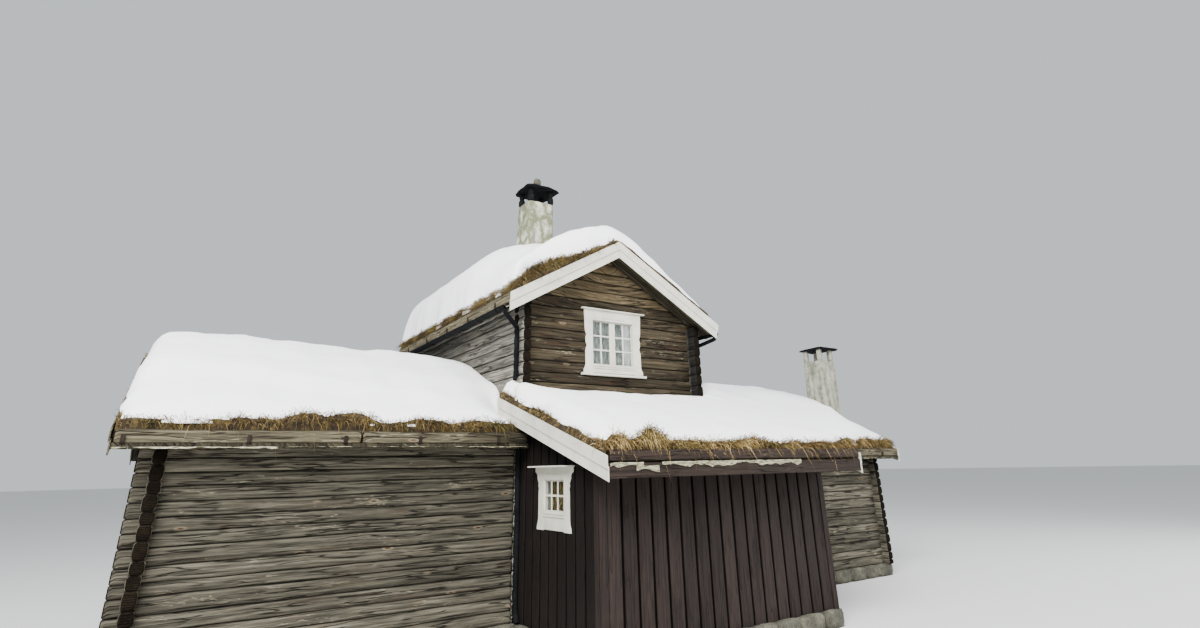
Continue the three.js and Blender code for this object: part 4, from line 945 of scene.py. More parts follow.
def make_annex_walls(sizes):
    """Wide upright boards on three sides with narrow gaps, the wall behind in painted shade, plain corner
    boards.
    """
    # The walls behind the boards are dressed nearly black: painted shade in the gaps
    for node in ("annex_front_wall", "annex_left_wall", "annex_right_wall"):
        dress(node, "painted shade behind the gaps")
    foot, top = BASE - 0.05, annex_deck(ANNEX_FRONT) - 0.01
    proud = BOARD_PROUD - BOARD_THICK
    front, back = ANNEX_FRONT + CORNER_BOARD, -0.005

    def under_deck(y):
        return annex_deck(y) - 0.008

    def rows(axis, face, outward, start, end, high, seed, tones, openings):
        """Boards of equal width from start to end, cut round openings (from, to, low, high)."""
        count = round((end - start) / sizes.board_module)
        module = (end - start) / count
        rng = np.random.default_rng(seed)
        made = []
        for k in range(count):
            a, b = start + k * module + BOARD_GAP / 2, start + (k + 1) * module - BOARD_GAP / 2
            tone = rng.uniform(*tones)
            spans = [(a, b, foot, high)]
            for s0, s1, z0, z1 in openings:
                if b <= s0 or a >= s1:
                    continue
                spans = [(a, b, foot, z0), (a, b, z1, high)]
                spans += [(a, s0, z0, z1)] if a < s0 - 0.01 else []
                spans += [(s1, b, z0, z1)] if b > s1 + 0.01 else []
            made += [board(axis, face, outward, *part, BOARD_THICK, tone) for part in spans
                     if callable(part[3]) or part[3] - part[2] > 0.02]
        return made

    pane, door = span("annex_window_glass"), span("annex_door")
    hole = (pane[0].y - 0.05, pane[1].y + 0.05, pane[0].z - 0.05, pane[1].z + 0.05)
    doorway = (door[0].y - 0.01, door[1].y + 0.01, foot - 0.05, door[1].z + 0.01)
    for side, *row in (
        ("front", 0, ANNEX_FRONT - proud, -1, ANNEX_LEFT + CORNER_BOARD, ANNEX_RIGHT - CORNER_BOARD, top, 31,
         (0.38, 0.66), []),
        # The left wall's boards get low tones: painted shade under the eave
        ("left", 1, ANNEX_LEFT - proud, -1, front, back, under_deck, 32, (0.02, 0.14), [hole]),
        ("right", 1, ANNEX_RIGHT + proud, 1, front, back, under_deck, 33, (0.3, 0.6), [doorway]),
    ):
        piece(f"annex_{side}_boards", rows(*row), ["dark stained boards"], smooth=False)
    corners = []
    for x, out in ((ANNEX_LEFT, -1), (ANNEX_RIGHT, 1)):
        start, end = sorted((x + out * 0.012, x - out * 0.1))
        corners.append(board(0, ANNEX_FRONT - 0.001, -1, start, end, foot, top, 0.022, 0.5))
        corners.append(board(1, x + out * 0.001, out, ANNEX_FRONT, ANNEX_FRONT + 0.1, foot, under_deck,
                             0.020, 0.45))
    piece("annex_corner_boards", corners, ["dark stained boards"], smooth=False)


def make_annex_door():
    """Ledged plank door with strap hinges, a wooden frame and a forged handle."""
    low, high = span("annex_door")
    x, width, jamb = ANNEX_RIGHT, (high.y - low.y) / 6, 0.09
    planks = [board(1, x - 0.05, 1, low.y + k * width + 0.002, low.y + (k + 1) * width - 0.002, low.z + 0.004,
                    high.z - 0.004, 0.045, 0.3 + 0.08 * (k % 4)) for k in range(6)]
    planks += [slab((x - 0.004, low.y + 0.05, z), (x + 0.018, high.y - 0.05, z + 0.11), 0.4)
               for z in (low.z + 0.30, low.z + 1.55)]
    piece("plank_door", planks, ["dark stained boards"], ["annex_door"], smooth=False)
    foot, top = BASE - 0.05, high.z + jamb
    casing = [
        slab((x + 0.012, low.y - jamb, foot), (x + 0.034, low.y, top)),
        slab((x + 0.012, high.y, foot), (x + 0.034, high.y + jamb, top)),
        slab((x + 0.013, low.y + 0.001, high.z), (x + 0.033, high.y - 0.001, top)),
    ]
    piece("door_frame_boards", casing, ["brown stained trim"], smooth=False)
    iron = [bar([(x + 0.021, low.y + 0.02, z), (x + 0.021, low.y + 0.62, z)], [0.022, 0.008], 0.003,
                (0, 0, 1), (1, 0, 0), chamfer=0.001) for z in (low.z + 0.355, low.z + 1.605)]
    y, z = high.y - 0.09, low.z + 1.02
    grip = rounded_path([(x, y, z - 0.08), (x + 0.05, y, z - 0.07), (x + 0.05, y, z + 0.07),
                         (x, y, z + 0.08)], 0.03)
    piece("door_ironwork", [*iron, pipe(grip, 0.007, 8)], ["rusty forged iron"])


# Decks and floors

ROOF_BOARD = 0.16
FLOOR_BOARD = 0.15


def board_edges(start, end, width):
    """Edges of boards about a width wide that fill the way from start to end."""
    return np.linspace(start, end, round((end - start) / width) + 1)


def make_decks():
    """Roof boards that run down the slopes, and floor boards along the rooms."""
    for name, roof, seed in (("left_wing", LEFT, 41), ("right_wing", RIGHT, 42), ("main", MAIN, 43)):
        rng = np.random.default_rng(seed)
        edges = board_edges(roof.start, roof.end, ROOF_BOARD)
        side = np.eye(3)[roof.axis]
        patches = []
        for a, b in zip(edges, edges[1:]):
            for eave in (roof.low, roof.high):
                if roof is RIGHT and eave < RIDGE_Y and (a + b) / 2 < ANNEX_VERGES[1]:
                    continue
                inset = rng.uniform(0.0, 0.012) * np.sign(roof.ridge - eave)
                stations = roof.points((a + b) / 2, np.array([eave + inset, roof.ridge]),
                                       roof.deck(np.array([eave, roof.ridge])) + DECK / 2)
                # Low tones darken the boards: painted shade under the turf logs at the eaves
                patches.append(bar(stations, (b - a) / 2 - 0.002, DECK / 2 - 0.001, side, (0, 0, 1),
                                   rng.uniform(0.0, 0.2)))
        piece(name + "_deck", patches, ["weathered sawn boards"], [name + "_roof_boards"],
              smooth=False)
    make_annex_deck()
    for node in ("left_wing_floor", "main_floor", "right_wing_floor", "annex_floor", "loft_floor"):
        low, high = span(node)
        edges = board_edges(low.y, high.y, FLOOR_BOARD)
        rng = np.random.default_rng(len(node))
        patches = [slab((low.x, a + 0.001, low.z), (high.x, b - 0.001, high.z), rng.uniform(0.3, 0.7), 0,
                        0.002) for a, b in zip(edges, edges[1:])]
        piece(node + "_boards", patches, ["scrubbed pine floor"], [node], smooth=False)


def make_annex_deck():
    """Annex roof boards, shorter where the middle part stands, with a fascia along the eave."""
    rng = np.random.default_rng(44)
    left, right = ANNEX_VERGES[0] + BARGE, ANNEX_VERGES[1] - BARGE
    edges = board_edges(left, right, ROOF_BOARD)
    patches = []
    for a, b in zip(edges, edges[1:]):
        middle = (a + b) / 2
        back = ANNEX_LEFT_BACK if middle < MAIN_LEFT else (0.0 if middle < MAIN_RIGHT else RIDGE_Y)
        y = np.array([ANNEX_EAVE + 0.03 + rng.uniform(0, 0.01), back])
        patches.append(bar(flat_points(middle, y, annex_deck(y) + DECK / 2), (b - a) / 2 - 0.002,
                           DECK / 2 - 0.001, (1, 0, 0), (0, 0, 1), rng.uniform(0.3, 0.8)))
    patches.append(slab((left, ANNEX_EAVE, ANNEX_EAVE_Z - ANNEX_FASCIA),
                        (right, ANNEX_EAVE + 0.028, ANNEX_EAVE_Z + ANNEX_FASCIA_TOP), 0.45, 1))
    piece("annex_deck", patches, ["weathered sawn boards", "brown stained trim"],
          ["annex_roof_boards"], smooth=False)


# Bargeboards and turf logs


def barge_board(roof, place, across, low, high, half, cut_low, cut_high, tone):
    """Board along a slope between two heights over the deck, with its eave's end cut back underneath.

    Each ring is a rectangle square to the ridge's direction; the eave's ring leans, because its
    lower corners lie cut_low and its upper ones cut_high further in.
    """
    inward = np.sign(across[1] - across[0])
    rings = []
    eave_end = (across[0] + inward * cut_low, across[0] + inward * cut_high)
    for a, b in (eave_end, (across[1], across[1])):
        corners = [(a, low, -half), (a, low, half), (b, high, half), (b, high, -half)]
        rings.append([roof.points(place + side, t, float(roof.deck(t)) + z) for t, z, side in corners])
    return tube(np.array(rings), tone)


def make_bargeboards():
    """Two overlapping boards down each slope of a gable, the upper one lying over the lower."""
    lap = 0.035
    half = BARGE / 4
    for name, roof, at, out, look, slot, below, above in (
        ("left_wing", LEFT, LEFT.start, -1, "weathered sawn boards", "roof_boards", 0.06, 0.21),
        ("right_wing", RIGHT, RIGHT.end, 1, "white oil paint", "roof_boards", 0.06, 0.21),
        ("main_front", MAIN, MAIN.start, -1, "white oil paint", "white_paint", 0.07, 0.24),
        ("main_back", MAIN, MAIN.end, 1, "white oil paint", "white_paint", 0.07, 0.24),
    ):
        split = (above - below) / 2
        patches = []
        past, slant = (MAIN_BARGE_PAST, MAIN_BARGE_SLANT) if roof is MAIN else (0.0, 0.0)
        for eave, tone in ((roof.low, 0.45), (roof.high + past, 0.55)):
            sign = np.sign(roof.ridge - eave)
            cut = slant / (below + above) if sign < 0 else 0.0
            for low, high, depth in ((-below, split + lap, half), (split, above, 3 * half)):
                patches.append(barge_board(roof, at + out * depth,
                                           (eave - sign * 0.004, roof.ridge - sign * 0.0015), low, high,
                                           half, cut * (above - low), cut * (above - high), tone))
        piece(name + "_barge", patches, [look], [name + "_bargeboards"], smooth=False)
    make_annex_bargeboards(lap)


def make_annex_bargeboards(lap):
    """White boards on the annex's verges. The right one closes the step down to the wing's roof."""
    below, split, above = 0.09, 0.05, 0.21

    def two_boards(verge, inward, back):
        """Two overlapping boards from the eave to a place behind it."""
        y = np.array([ANNEX_EAVE - 0.01, back])
        return [bar(flat_points(verge + inward * depth, y, annex_deck(y) + (low + high) / 2), 0.007,
                    (high - low) / 2, (1, 0, 0), (0, 0, 1))
                for low, high, depth in ((-below, split + lap, 0.021), (split, above, 0.007))]

    left, right = ANNEX_VERGES
    y = np.linspace(RIGHT.low, RIDGE_Y - 0.001, 24)
    bottom, top = RIGHT.deck(y), annex_deck(y) + above
    rows = np.stack([bottom, (bottom + top) / 2, top])
    cheek = sheet_body(*(flat_points(x, y, rows) for x in (right - 0.004, right - 0.026)))
    cheek.uv = cheek.v[:, 1:]
    for side, patches in (("left", two_boards(left, 1, ANNEX_LEFT_BACK)),
                          ("right", [*two_boards(right, -1, RIGHT.low), cheek])):
        piece(f"annex_{side}_barge", patches, ["white oil paint"],
              [f"annex_{side}_bargeboard"], smooth=False)


def bark_strip(points, face, outward, start, end, low, high, length, seed):
    """Torn bark that hangs over the deck's edge: an upright sheet with ragged edges, 4 mm thick.

    It hangs down from high towards low by the share length + 0.4 * waves, cut off at 0.04 and 1.
    """
    s = np.arange(start, end, 0.035)[:, None]
    w = np.linspace(0, 1, 4)[None]
    torn = np.clip(waves(s, 0.0, seed, 0.7, 4), -0.9, 0.9)
    bottom = high - (high - low) * np.clip(length + 0.4 * torn, 0.04, 1.0)
    top = high + 0.004 * waves(s, 0.0, seed + 1, 0.3)
    z = bottom + (top - bottom) * w
    curl = 0.004 + 0.005 * (1 - w) * (1 + waves(s, 0.0, seed + 2, 0.4)) / 2
    return sheet_body(points(s, face + outward * curl, z), points(s, face + outward * (curl - 0.004), z))


def make_turf_logs(sizes):
    """Squared logs along the eaves that hold the turf, wooden hooks pegged over them, torn bark below."""
    seen_hooks = (-0.3, 0.94, 2.05, 3.03, 4.2)
    for name, roof, start, end, height, seed in (
        ("left_wing_front", LEFT, LEFT.start, LEFT.end, 0.15, 51),
        ("left_wing_back", LEFT, LEFT.start, LEFT.end, 0.15, 52),
        ("right_wing_front", RIGHT, ANNEX_VERGES[1], RIGHT.end, 0.15, 53),
        ("right_wing_back", RIGHT, RIGHT.start, RIGHT.end, 0.15, 54),
        ("main_left", MAIN, MAIN.start, MAIN.end, 0.18, 55),
        ("main_right", MAIN, MAIN.start, MAIN.end, 0.18, 56),
    ):
        eave, inward = (roof.low, 1) if name.endswith(("front", "left")) else (roof.high, -1)
        z = float(roof.deck(eave)) + DECK
        joint = start + (end - start) * 0.52
        halves = ((start + 0.01, joint - 0.003), (joint + 0.003, end - 0.01))
        logs = [log(roof.axis, eave, eave + inward * TURF_LOG, (fixed(a), fixed(b)), fixed(z),
                    wavy(z + height, 0.008, seed + k, 2.0), seed * 10 + k, sizes, BEAM_POWER, 0.45 + 0.1 * k)
                for k, (a, b) in enumerate(halves)]
        for half in logs:
            if name == "left_wing_front":
                # Painted shade: darker towards the right end, which lies in shade beside the raised part
                half.tone -= 0.5 * soft_step(half.v[:, 0], 3.5, 4.4)
            if name == "main_left":
                half.tone += 0.2
        piece(name + "_sod_log", logs, ["weathered sawn boards", "sawn log ends"],
              [name + "_turf_log"])
        rng = np.random.default_rng(seed)
        spread = np.arange(start + 0.5, end - 0.2, 1.2)
        places = seen_hooks if name == "left_wing_front" else spread + rng.uniform(-0.1, 0.1, len(spread))
        path = [(eave + inward * 0.25, roof.deck(eave + inward * 0.25) + DECK + 0.02),
                (eave - inward * 0.012, z - 0.03), (eave - inward * 0.014, z + height * 0.55)]
        hooks = [bar(rounded_path([roof.points(s, a, b) for a, b in path], 0.05), 0.022, 0.014,
                     np.eye(3)[roof.axis], roof.points(0.0, -inward * 0.7, 0.7), rng.uniform(0.1, 0.4))
                 for s in places]
        piece(name + "_hooks", hooks, ["brown stained trim"])
        bark = [bark_strip(roof.points, eave, -inward, a, b, z - 0.085, z - 0.042, hang, seed + 5)
                for a, b, hang in ((start + 0.02, start + 1.7, 0.35), (start + 1.7, end - 0.02, -0.03))]
        piece(name + "_bark", bark, ["birch bark"])
    left, right = ANNEX_VERGES[0] + BARGE + 0.005, ANNEX_VERGES[1] - BARGE - 0.005
    foot = ANNEX_EAVE_Z + ANNEX_FASCIA_TOP + 0.03
    annex_log = log(0, ANNEX_EAVE, ANNEX_EAVE + ANNEX_LOG, (fixed(left), fixed(right)), fixed(foot),
                    wavy(ANNEX_EAVE_Z + DECK + 0.2, 0.005, 57, 2.0), 570, sizes, BEAM_POWER)
    piece("annex_sod_log", [annex_log], ["brown stained trim", "sawn log ends"],
          ["annex_turf_log"])
    bark = [bark_strip(flat_points, ANNEX_EAVE - ahead, -1, left + a, left + b, foot - low, foot - high,
                       hang, seed)
            for ahead, a, b, low, high, hang, seed in ((0.0, 0.02, 0.53, 0.10, 0.022, 0.55, 58),
                                                       (0.003, 0.40, 0.78, 0.15, 0.06, 0.6, 59),
                                                       (0.0, 0.80, 3.4, 0.10, 0.018, 0.6, 60))]
    piece("annex_bark", bark, ["birch bark"])


# Sod and grass


def spaced(start, end, step, reach=0.0):
    """Places from start to end about a step apart, three times closer within reach of both ends."""
    if reach:
        near = np.linspace(0, reach, max(3, int(3 * reach / step)))[:-1]
        far = np.linspace(reach, end - start - reach, max(3, int((end - start - 2 * reach) / step)))
        return start + np.concatenate([near, far, (end - start - near)[::-1]])
    return np.linspace(start, end, max(3, int((end - start) / step) + 1))


# Heaps of old grass along the eaves and the front verge: place, width and height
LEFT_HEAPS = ((0.2, 0.3, 0.05), (0.9, 0.35, 0.08), (1.6, 0.33, 0.17), (2.2, 0.3, 0.16), (3.1, 0.3, 0.12),
              (4.0, 0.5, 0.10))
ANNEX_HEAPS = ((4.75, 0.14, 0.20), (5.05, 0.12, 0.10), (5.32, 0.20, 0.30), (5.9, 0.25, 0.08),
               (6.5, 0.3, 0.06), (7.1, 0.28, 0.13), (7.9, 0.3, 0.06), (8.6, 0.2, 0.07), (9.15, 0.16, 0.13))
RIGHT_HEAPS = ((11.8, 0.3, 0.10), (12.5, 0.3, 0.12), (13.2, 0.35, 0.15), (13.9, 0.3, 0.12))
VERGE_HEAPS = ((4.62, 0.16, 0.12), (4.86, 0.20, 0.26), (5.15, 0.20, 0.18), (5.4, 0.2, 0.12),
               (5.75, 0.2, 0.05))
HEAP_WIDTH = 0.13
# Width of a blade at its root, twice the real one so that it shows
BLADE = 0.0075


def sod_sheet(points, deck, along, across, thick, seed, rise):
    """Sod between the deck and its lumpy top, as a grid over the places along and across.

    The top is the deck plus the thickness plus waves 0.5 m long, plus rise(s, t) where heaps of
    old grass stand. Waves draw the top's rims at both ends in by up to 2 cm.
    """
    s, t = np.meshgrid(along, across, indexing="ij")
    rim = 0.02 * waves(s, t, seed, 0.5)
    shift = np.zeros_like(s)
    shift[0], shift[-1] = -np.abs(rim[0]), np.abs(rim[-1])
    top = deck(t) + (DECK + thick) + 0.018 * waves(s, t, seed + 1, 0.5) + rise(s, t)
    return sheet_body(points(s - shift * 0.5, t, top), points(s, t, deck(t) + (DECK + 0.02)))


def make_sod():
    """Sod on each roof, from one turf log over the ridge to the other."""
    step = 0.12

    def rise(heaps, line, width=HEAP_WIDTH, share=0.7):
        """Heaps along an eave or verge, which fall off across it by a bell about its line."""
        return lambda s, t: share * heaped(s, heaps) * np.exp(-((t - line) / width) ** 2)

    main_rise = rise(VERGE_HEAPS, MAIN.start + 0.15, 1.6 * HEAP_WIDTH)
    for name, roof, start, end, thick, seed, heap in (
        ("left_wing", LEFT, LEFT.start, LEFT.end - 0.002, TURF, 61, rise(LEFT_HEAPS, LEFT.low + 0.2)),
        ("main", MAIN, MAIN.start, MAIN.end, MAIN_TURF, 63, lambda s, t: main_rise(t, s)),
    ):
        across = spaced(roof.low + TURF_LOG + 0.002, roof.high - TURF_LOG - 0.002, step)
        sod = sod_sheet(roof.points, lambda t, roof=roof: roof.deck(t, 0.1), spaced(start, end, step), across,
                        thick, seed, heap)
        piece(name + "_sod", [sod], ["dry sod"], [name + "_turf"])
    # The right wing's sod starts beside the annex roof in front and at the middle part behind
    patches = [sod_sheet(RIGHT.points, RIGHT.deck, spaced(start, RIGHT.end, step), spaced(y0, y1, step),
                         TURF, 62, rise(RIGHT_HEAPS, RIGHT.low + 0.2))
               for start, y0, y1 in ((ANNEX_VERGES[1] + 0.002, RIGHT.low + TURF_LOG, RIDGE_Y),
                                     (MAIN_RIGHT + 0.002, RIDGE_Y, RIGHT.high - TURF_LOG))]
    piece("right_wing_sod", patches, ["dry sod"], ["right_wing_turf"])
    front = ANNEX_EAVE + ANNEX_LOG + 0.002
    patches = [sod_sheet(flat_points, annex_deck, spaced(x0, x1, step), spaced(front, back, step),
                         ANNEX_TURF, 64, rise(ANNEX_HEAPS, ANNEX_EAVE + 0.15, share=0.6))
               for x0, x1, back in ((ANNEX_VERGES[0] + BARGE, MAIN_LEFT - 0.002, ANNEX_LEFT_BACK),
                                    (MAIN_LEFT - 0.002, MAIN_RIGHT + 0.002, -0.002),
                                    (MAIN_RIGHT + 0.002, ANNEX_VERGES[1] - BARGE, RIDGE_Y))]
    piece("annex_sod", patches, ["dry sod"], ["annex_turf"])


def blades(roots, lean, length, seed):
    """Closed three-sided blades of grass, bent once.

    Root k and its lean direction give a middle point at 0.5 of the length and a tip that falls by
    the square of the length, so long blades hang over.
    """
    rng = np.random.default_rng(seed)
    count = len(roots)
    length = (length * rng.uniform(0.5, 1.5, count))[:, None]
    lean = lean + rng.normal(0, 0.55, (count, 3))
    lean /= np.linalg.norm(lean, axis=1)[:, None]
    down = np.array([0, 0, -1.0])
    middle = roots + lean * length * 0.5 + down * length ** 2 * 0.4
    tip = roots + lean * length * 0.9 + down * length ** 2 * 2.4
    across = np.cross(lean, rng.normal(0, 1, (count, 3)))
    across /= np.linalg.norm(across, axis=1)[:, None]
    over = np.cross(lean, across)
    turn = np.array([0, 2, 4]) * math.pi / 3
    circle = np.cos(turn)[None, :, None] * across[:, None] + np.sin(turn)[None, :, None] * over[:, None]
    half = BLADE * rng.uniform(0.6, 1.3, count)[:, None, None] / 2
    v = np.concatenate([roots[:, None] + circle * half, middle[:, None] + circle * half * 0.75,
                        tip[:, None]], 1)
    first = (np.arange(count) * 7)[:, None]
    quads = np.concatenate([first + np.array([[i, (i + 1) % 3, 3 + (i + 1) % 3, 3 + i]]) for i in range(3)])
    tris = np.concatenate([first + np.array([[3 + i, 3 + (i + 1) % 3, 6]]) for i in range(3)]
                          + [first + np.array([[2, 1, 0]])])
    # Tone falls towards the root: painted shade among the blades, and their matted bases
    tone = rng.uniform(0, 1, count)[:, None] * np.array([[0.35, 0.35, 0.35, 0.8, 0.8, 0.8, 1.0]])
    uv = np.zeros((count * 7, 2))
    return Patch(v.reshape(-1, 3), quads, tris, uv, tone.ravel())


def grass_strip(points, height, along, across, lean, count, length, seed, heaps=()):
    """Grass rooted in a strip of sod, with waves 0.35 m long thinning and lengthening its tufts.

    along and across are the strip's limits, and height(s, t) its sod's top. On heaps the grass
    stands higher, longer and closer. One stalk in twenty strays, nearly twice as long.
    """
    rng = np.random.default_rng(seed)
    s = rng.uniform(along[0], along[1], count)
    t = across[0] + (across[1] - across[0]) * rng.uniform(0, 1, count) ** 1.4
    clump = waves(s, t, seed, 0.35)
    heap = heaped(s, heaps)
    keep = clump + 9 * heap > -0.35 + rng.normal(0, 0.25, count)
    s, t, clump, heap = s[keep], t[keep], clump[keep], heap[keep]
    z = height(s, t) - 0.09 * rng.uniform(0, 1, len(s)) ** 2 + 0.75 * heap * rng.uniform(0.3, 1.0, len(s))
    lift = np.zeros((len(s), 3))
    lift[:, 2] = rng.uniform(-0.6, 0.4, len(s))
    stray = np.where(rng.uniform(0, 1, len(s)) > 0.95, 1.8, 1.0)
    long = stray * length * (1 + 0.25 * clump) + 0.22 * heap
    return blades(points(s, t, z), np.asarray(lean, float) + lift, long, seed)


def eave_grass(roof, start, end, thick, seed, many, heaps):
    """Grass along both eaves of a roof, thinner on the far side."""
    strips = []
    for eave, inward, share, tufts in ((roof.low, 1, 2.2, heaps), (roof.high, -1, 0.8, ())):
        strips.append(grass_strip(
            roof.points, lambda s, t: roof.deck(t) + (DECK + thick), (start, end),
            (eave + inward * (TURF_LOG + 0.005), eave + inward * (TURF_LOG + 0.19)),
            roof.points(0.0, -inward * 0.9, 0.35), int((end - start) * many * share), 0.12, seed, tufts))
    return strips


def verge_grass(roof, verge, out, across, thick, seed, many, heaps=(), length=0.11):
    """Grass along one verge of a roof, between two places across it."""
    return grass_strip(
        lambda s, t, z: roof.points(t, s, z), lambda s, t: roof.deck(s) + (DECK + thick), across,
        (verge - out * 0.01, verge - out * 0.22), roof.points(out * 0.7, 0.0, 0.6),
        int((across[1] - across[0]) * many), length, seed, heaps)


def make_grass(sizes):
    """Dead grass where the sod shows between the snow and the timbers that hold it."""
    many = sizes.grass_per_metre
    matted, straw, mossy = "matted brown grass", "dry straw grass", "moss-grown grass"
    mossy_heaps = tuple((y, 0.3, 0.10) for y in np.arange(MAIN.start + 0.2, MAIN.end, 0.75))
    slope = (MAIN.low + 0.1, MAIN_RIDGE - 0.1)
    left, right = ANNEX_VERGES[0] + BARGE, ANNEX_VERGES[1] - BARGE
    for name, look, strips in (
        ("left_wing_eave", matted, eave_grass(LEFT, LEFT.start, LEFT.end - 0.05, TURF, 71, many, LEFT_HEAPS)),
        ("right_wing_eave", straw, eave_grass(RIGHT, ANNEX_VERGES[1] + 0.02, RIGHT.end, TURF, 72, many * 1.6,
                                              RIGHT_HEAPS)),
        ("left_wing_verge", matted, [verge_grass(LEFT, LEFT.start, -1, (LEFT.low + 0.1, LEFT.high - 0.1),
                                                 TURF, 80, many, length=0.05)]),
        ("right_wing_verge", matted, [verge_grass(RIGHT, RIGHT.end, 1, (RIGHT.low + 0.1, RIGHT.high - 0.1),
                                                  TURF, 77, many)]),
        ("main_eave", mossy, eave_grass(MAIN, MAIN.start, MAIN.end, MAIN_TURF, 73, many, mossy_heaps)),
        ("main_front_verge", mossy, [verge_grass(MAIN, MAIN.start, -1, slope, MAIN_TURF, 78, many * 4,
                                                 VERGE_HEAPS)]),
        ("main_back_verge", matted, [verge_grass(MAIN, MAIN.end, 1, slope, MAIN_TURF, 79, many)]),
        ("annex", straw, [
            grass_strip(flat_points, lambda s, t: annex_deck(t) + DECK + ANNEX_TURF, (left, right),
                        (ANNEX_EAVE + ANNEX_LOG, ANNEX_EAVE + ANNEX_LOG + 0.19), (0, -0.9, 0.3),
                        int((right - left) * many * 2.6), 0.12, 74, ANNEX_HEAPS),
            grass_strip(lambda s, t, z: flat_points(t, s, z), lambda s, t: annex_deck(s) + DECK + ANNEX_TURF,
                        (ANNEX_EAVE + 0.1, ANNEX_LEFT_BACK), (left + 0.005, left + 0.16), (-0.7, -0.2, 0.7),
                        int(-ANNEX_EAVE * many * 1.6), 0.10, 76)]),
    ):
        piece(name + "_grass", strips, [look])


# Snow


# How far the snow's rims wander
RIM_WANDER = 0.05


def rounded_rim(distance, radius):
    """Quarter circle that lifts a sheet from its rim: sqrt(1 - (1 - d / r)**2), and 1 past r."""
    if not radius:
        return np.ones_like(distance)
    return np.sqrt(np.clip(1 - (1 - np.clip(distance / radius, 0, 1)) ** 2, 0, 1))


def snow_body(points, along, across, radii, ground, thick, seed, lumps, set_back=None):
    """Snow blanket on a grid: the ground under it plus a thickness that is rounded off at its rims.

    The rims wander by waves 0.9 m long, and the top has waves 1.3 m long and less. set_back(t)
    moves the first rim inwards, and the rows behind it less and less by exp(-distance / 0.3).
    """
    s, t = np.meshgrid(along, across, indexing="ij")
    near = [s - s[0], s[-1] - s, t - t[:, :1], t[:, -1:] - t]
    lift = np.ones_like(s)
    for distance, radius in zip(near, radii):
        lift = lift * rounded_rim(distance, radius)
    if set_back is not None:
        s = s + set_back(t) * np.exp(-near[0] / 0.3)
    for index, (distance, radius) in enumerate(zip(near, radii)):
        if not radius:
            continue
        push = RIM_WANDER * waves(s, t, seed + index, 0.9) * np.exp(-distance / 0.15)
        if index < 2:
            s = s + push
        else:
            t = t + push
    base = ground(s, t)
    top = base + lift * (thick(s, t) + lumps * waves(s, t, seed + 9, 1.3, 4)) + 0.012
    return sheet_body(points(s, t, top), points(s, t, base - 0.01))


def between(share, start, middle, end):
    """From start to middle by a sine over the first half of a way, then straight on to the end."""
    first = start + (middle - start) * np.sin(math.pi * np.clip(share, 0, 0.5))
    return np.where(share < 0.5, first, middle + (end - middle) * (2 * np.clip(share, 0, 1) - 1))


def gable_snow(roof, eave, slope, crest, far_slope, far_eave):
    """Thickness across a gable roof: at the low eave, on its slope, at the ridge and down the far side."""
    def thick(_, t):
        low, high = roof.low + TURF_LOG, roof.high - TURF_LOG
        near = between((t - low) / (roof.ridge - low), eave, slope, crest)
        far = between((high - t) / (high - roof.ridge), far_eave, far_slope, crest)
        return np.where(t < roof.ridge, near, far)
    return thick


def make_snow(sizes):
    """Thick snow on the left wing and the middle part, then the sheets of the annex and right wing."""
    step, lumps = sizes.snow_step, sizes.snow_lumps
    rim = 0.24
    back_of_log = TURF_LOG + 0.03
    plain = gable_snow(LEFT, 0.20, 0.40, 0.42, 0.40, 0.20)
    barge = ANNEX_VERGES[0] - 0.02

    def left_thick(s, t):
        """Thicker by the far gable, falling to the corner in front of the raised part's wall.

        A low step shows where the sheet above the eave has slipped a little.
        """
        own = plain(s, t) + 0.09 * np.exp(-((s - 0.6) / 1.1) ** 2) - 0.10 * np.exp(-(LEFT.end - s) / 0.4)
        slipped = LEFT.low + 1.05 - 0.14 * s + 0.08 * waves(s, 0.0, 87, 1.6)
        own = own - 0.11 * (1 - soft_step(t, slipped - 0.08, slipped + 0.08)) * (1 - soft_step(s, 3.0, 4.0))
        beside = rounded_rim(barge - s, 0.45) * (1 - 0.45 * np.exp(-np.abs(barge - s) / 0.5))
        behind = soft_step(t, 0.25, 0.9)
        return own * (beside * (1 - behind) + behind)

    left = snow_body(LEFT.points, spaced(LEFT.start + 0.02, LEFT.end, step, rim),
                     spaced(LEFT.low + back_of_log, LEFT.high - back_of_log, step, rim), (0.28, 0, rim, rim),
                     lambda s, t: LEFT.deck(t, 0.3) + DECK + TURF, left_thick, 81, lumps)
    piece("left_wing_snow_blanket", [left], ["settled snow"], ["left_wing_snow"])
    front = gable_snow(MAIN, 0.40, 0.62, 0.60, 0.36, 0.14)
    drift = gable_snow(MAIN, 0.80, 1.10, 0.62, 0.36, 0.12)

    def main_thick(s, t):
        """A drift that grows towards the back, heaped up round the chimney."""
        share = soft_step(s, 1.0, 2.8)
        heap = 0.14 * np.exp(-((s - 2.1) ** 2 + (t - 5.9) ** 2) / 0.7)
        return (1 - share) * front(s, t) + share * drift(s, t) + heap

    def bare_verge(t):
        """How far the front edge lies back on the left slope, where the sod shows."""
        up = np.clip((t - MAIN.low) / (MAIN.ridge - MAIN.low), 0, 1)
        return 0.36 * np.exp(-((up - 0.28) / 0.24) ** 2)

    main = snow_body(MAIN.points, spaced(MAIN.start + 0.03, MAIN.end + 0.1, step, rim),
                     spaced(MAIN.low + back_of_log, MAIN.high - back_of_log, step, rim),
                     (0.3, 0.16, rim, rim), lambda s, t: MAIN.deck(t, 0.45) + DECK + MAIN_TURF, main_thick,
                     82, lumps, bare_verge)
    piece("main_snow_blanket", [main], ["settled snow"], ["main_snow"])
    make_low_snow(step, lumps, rim)


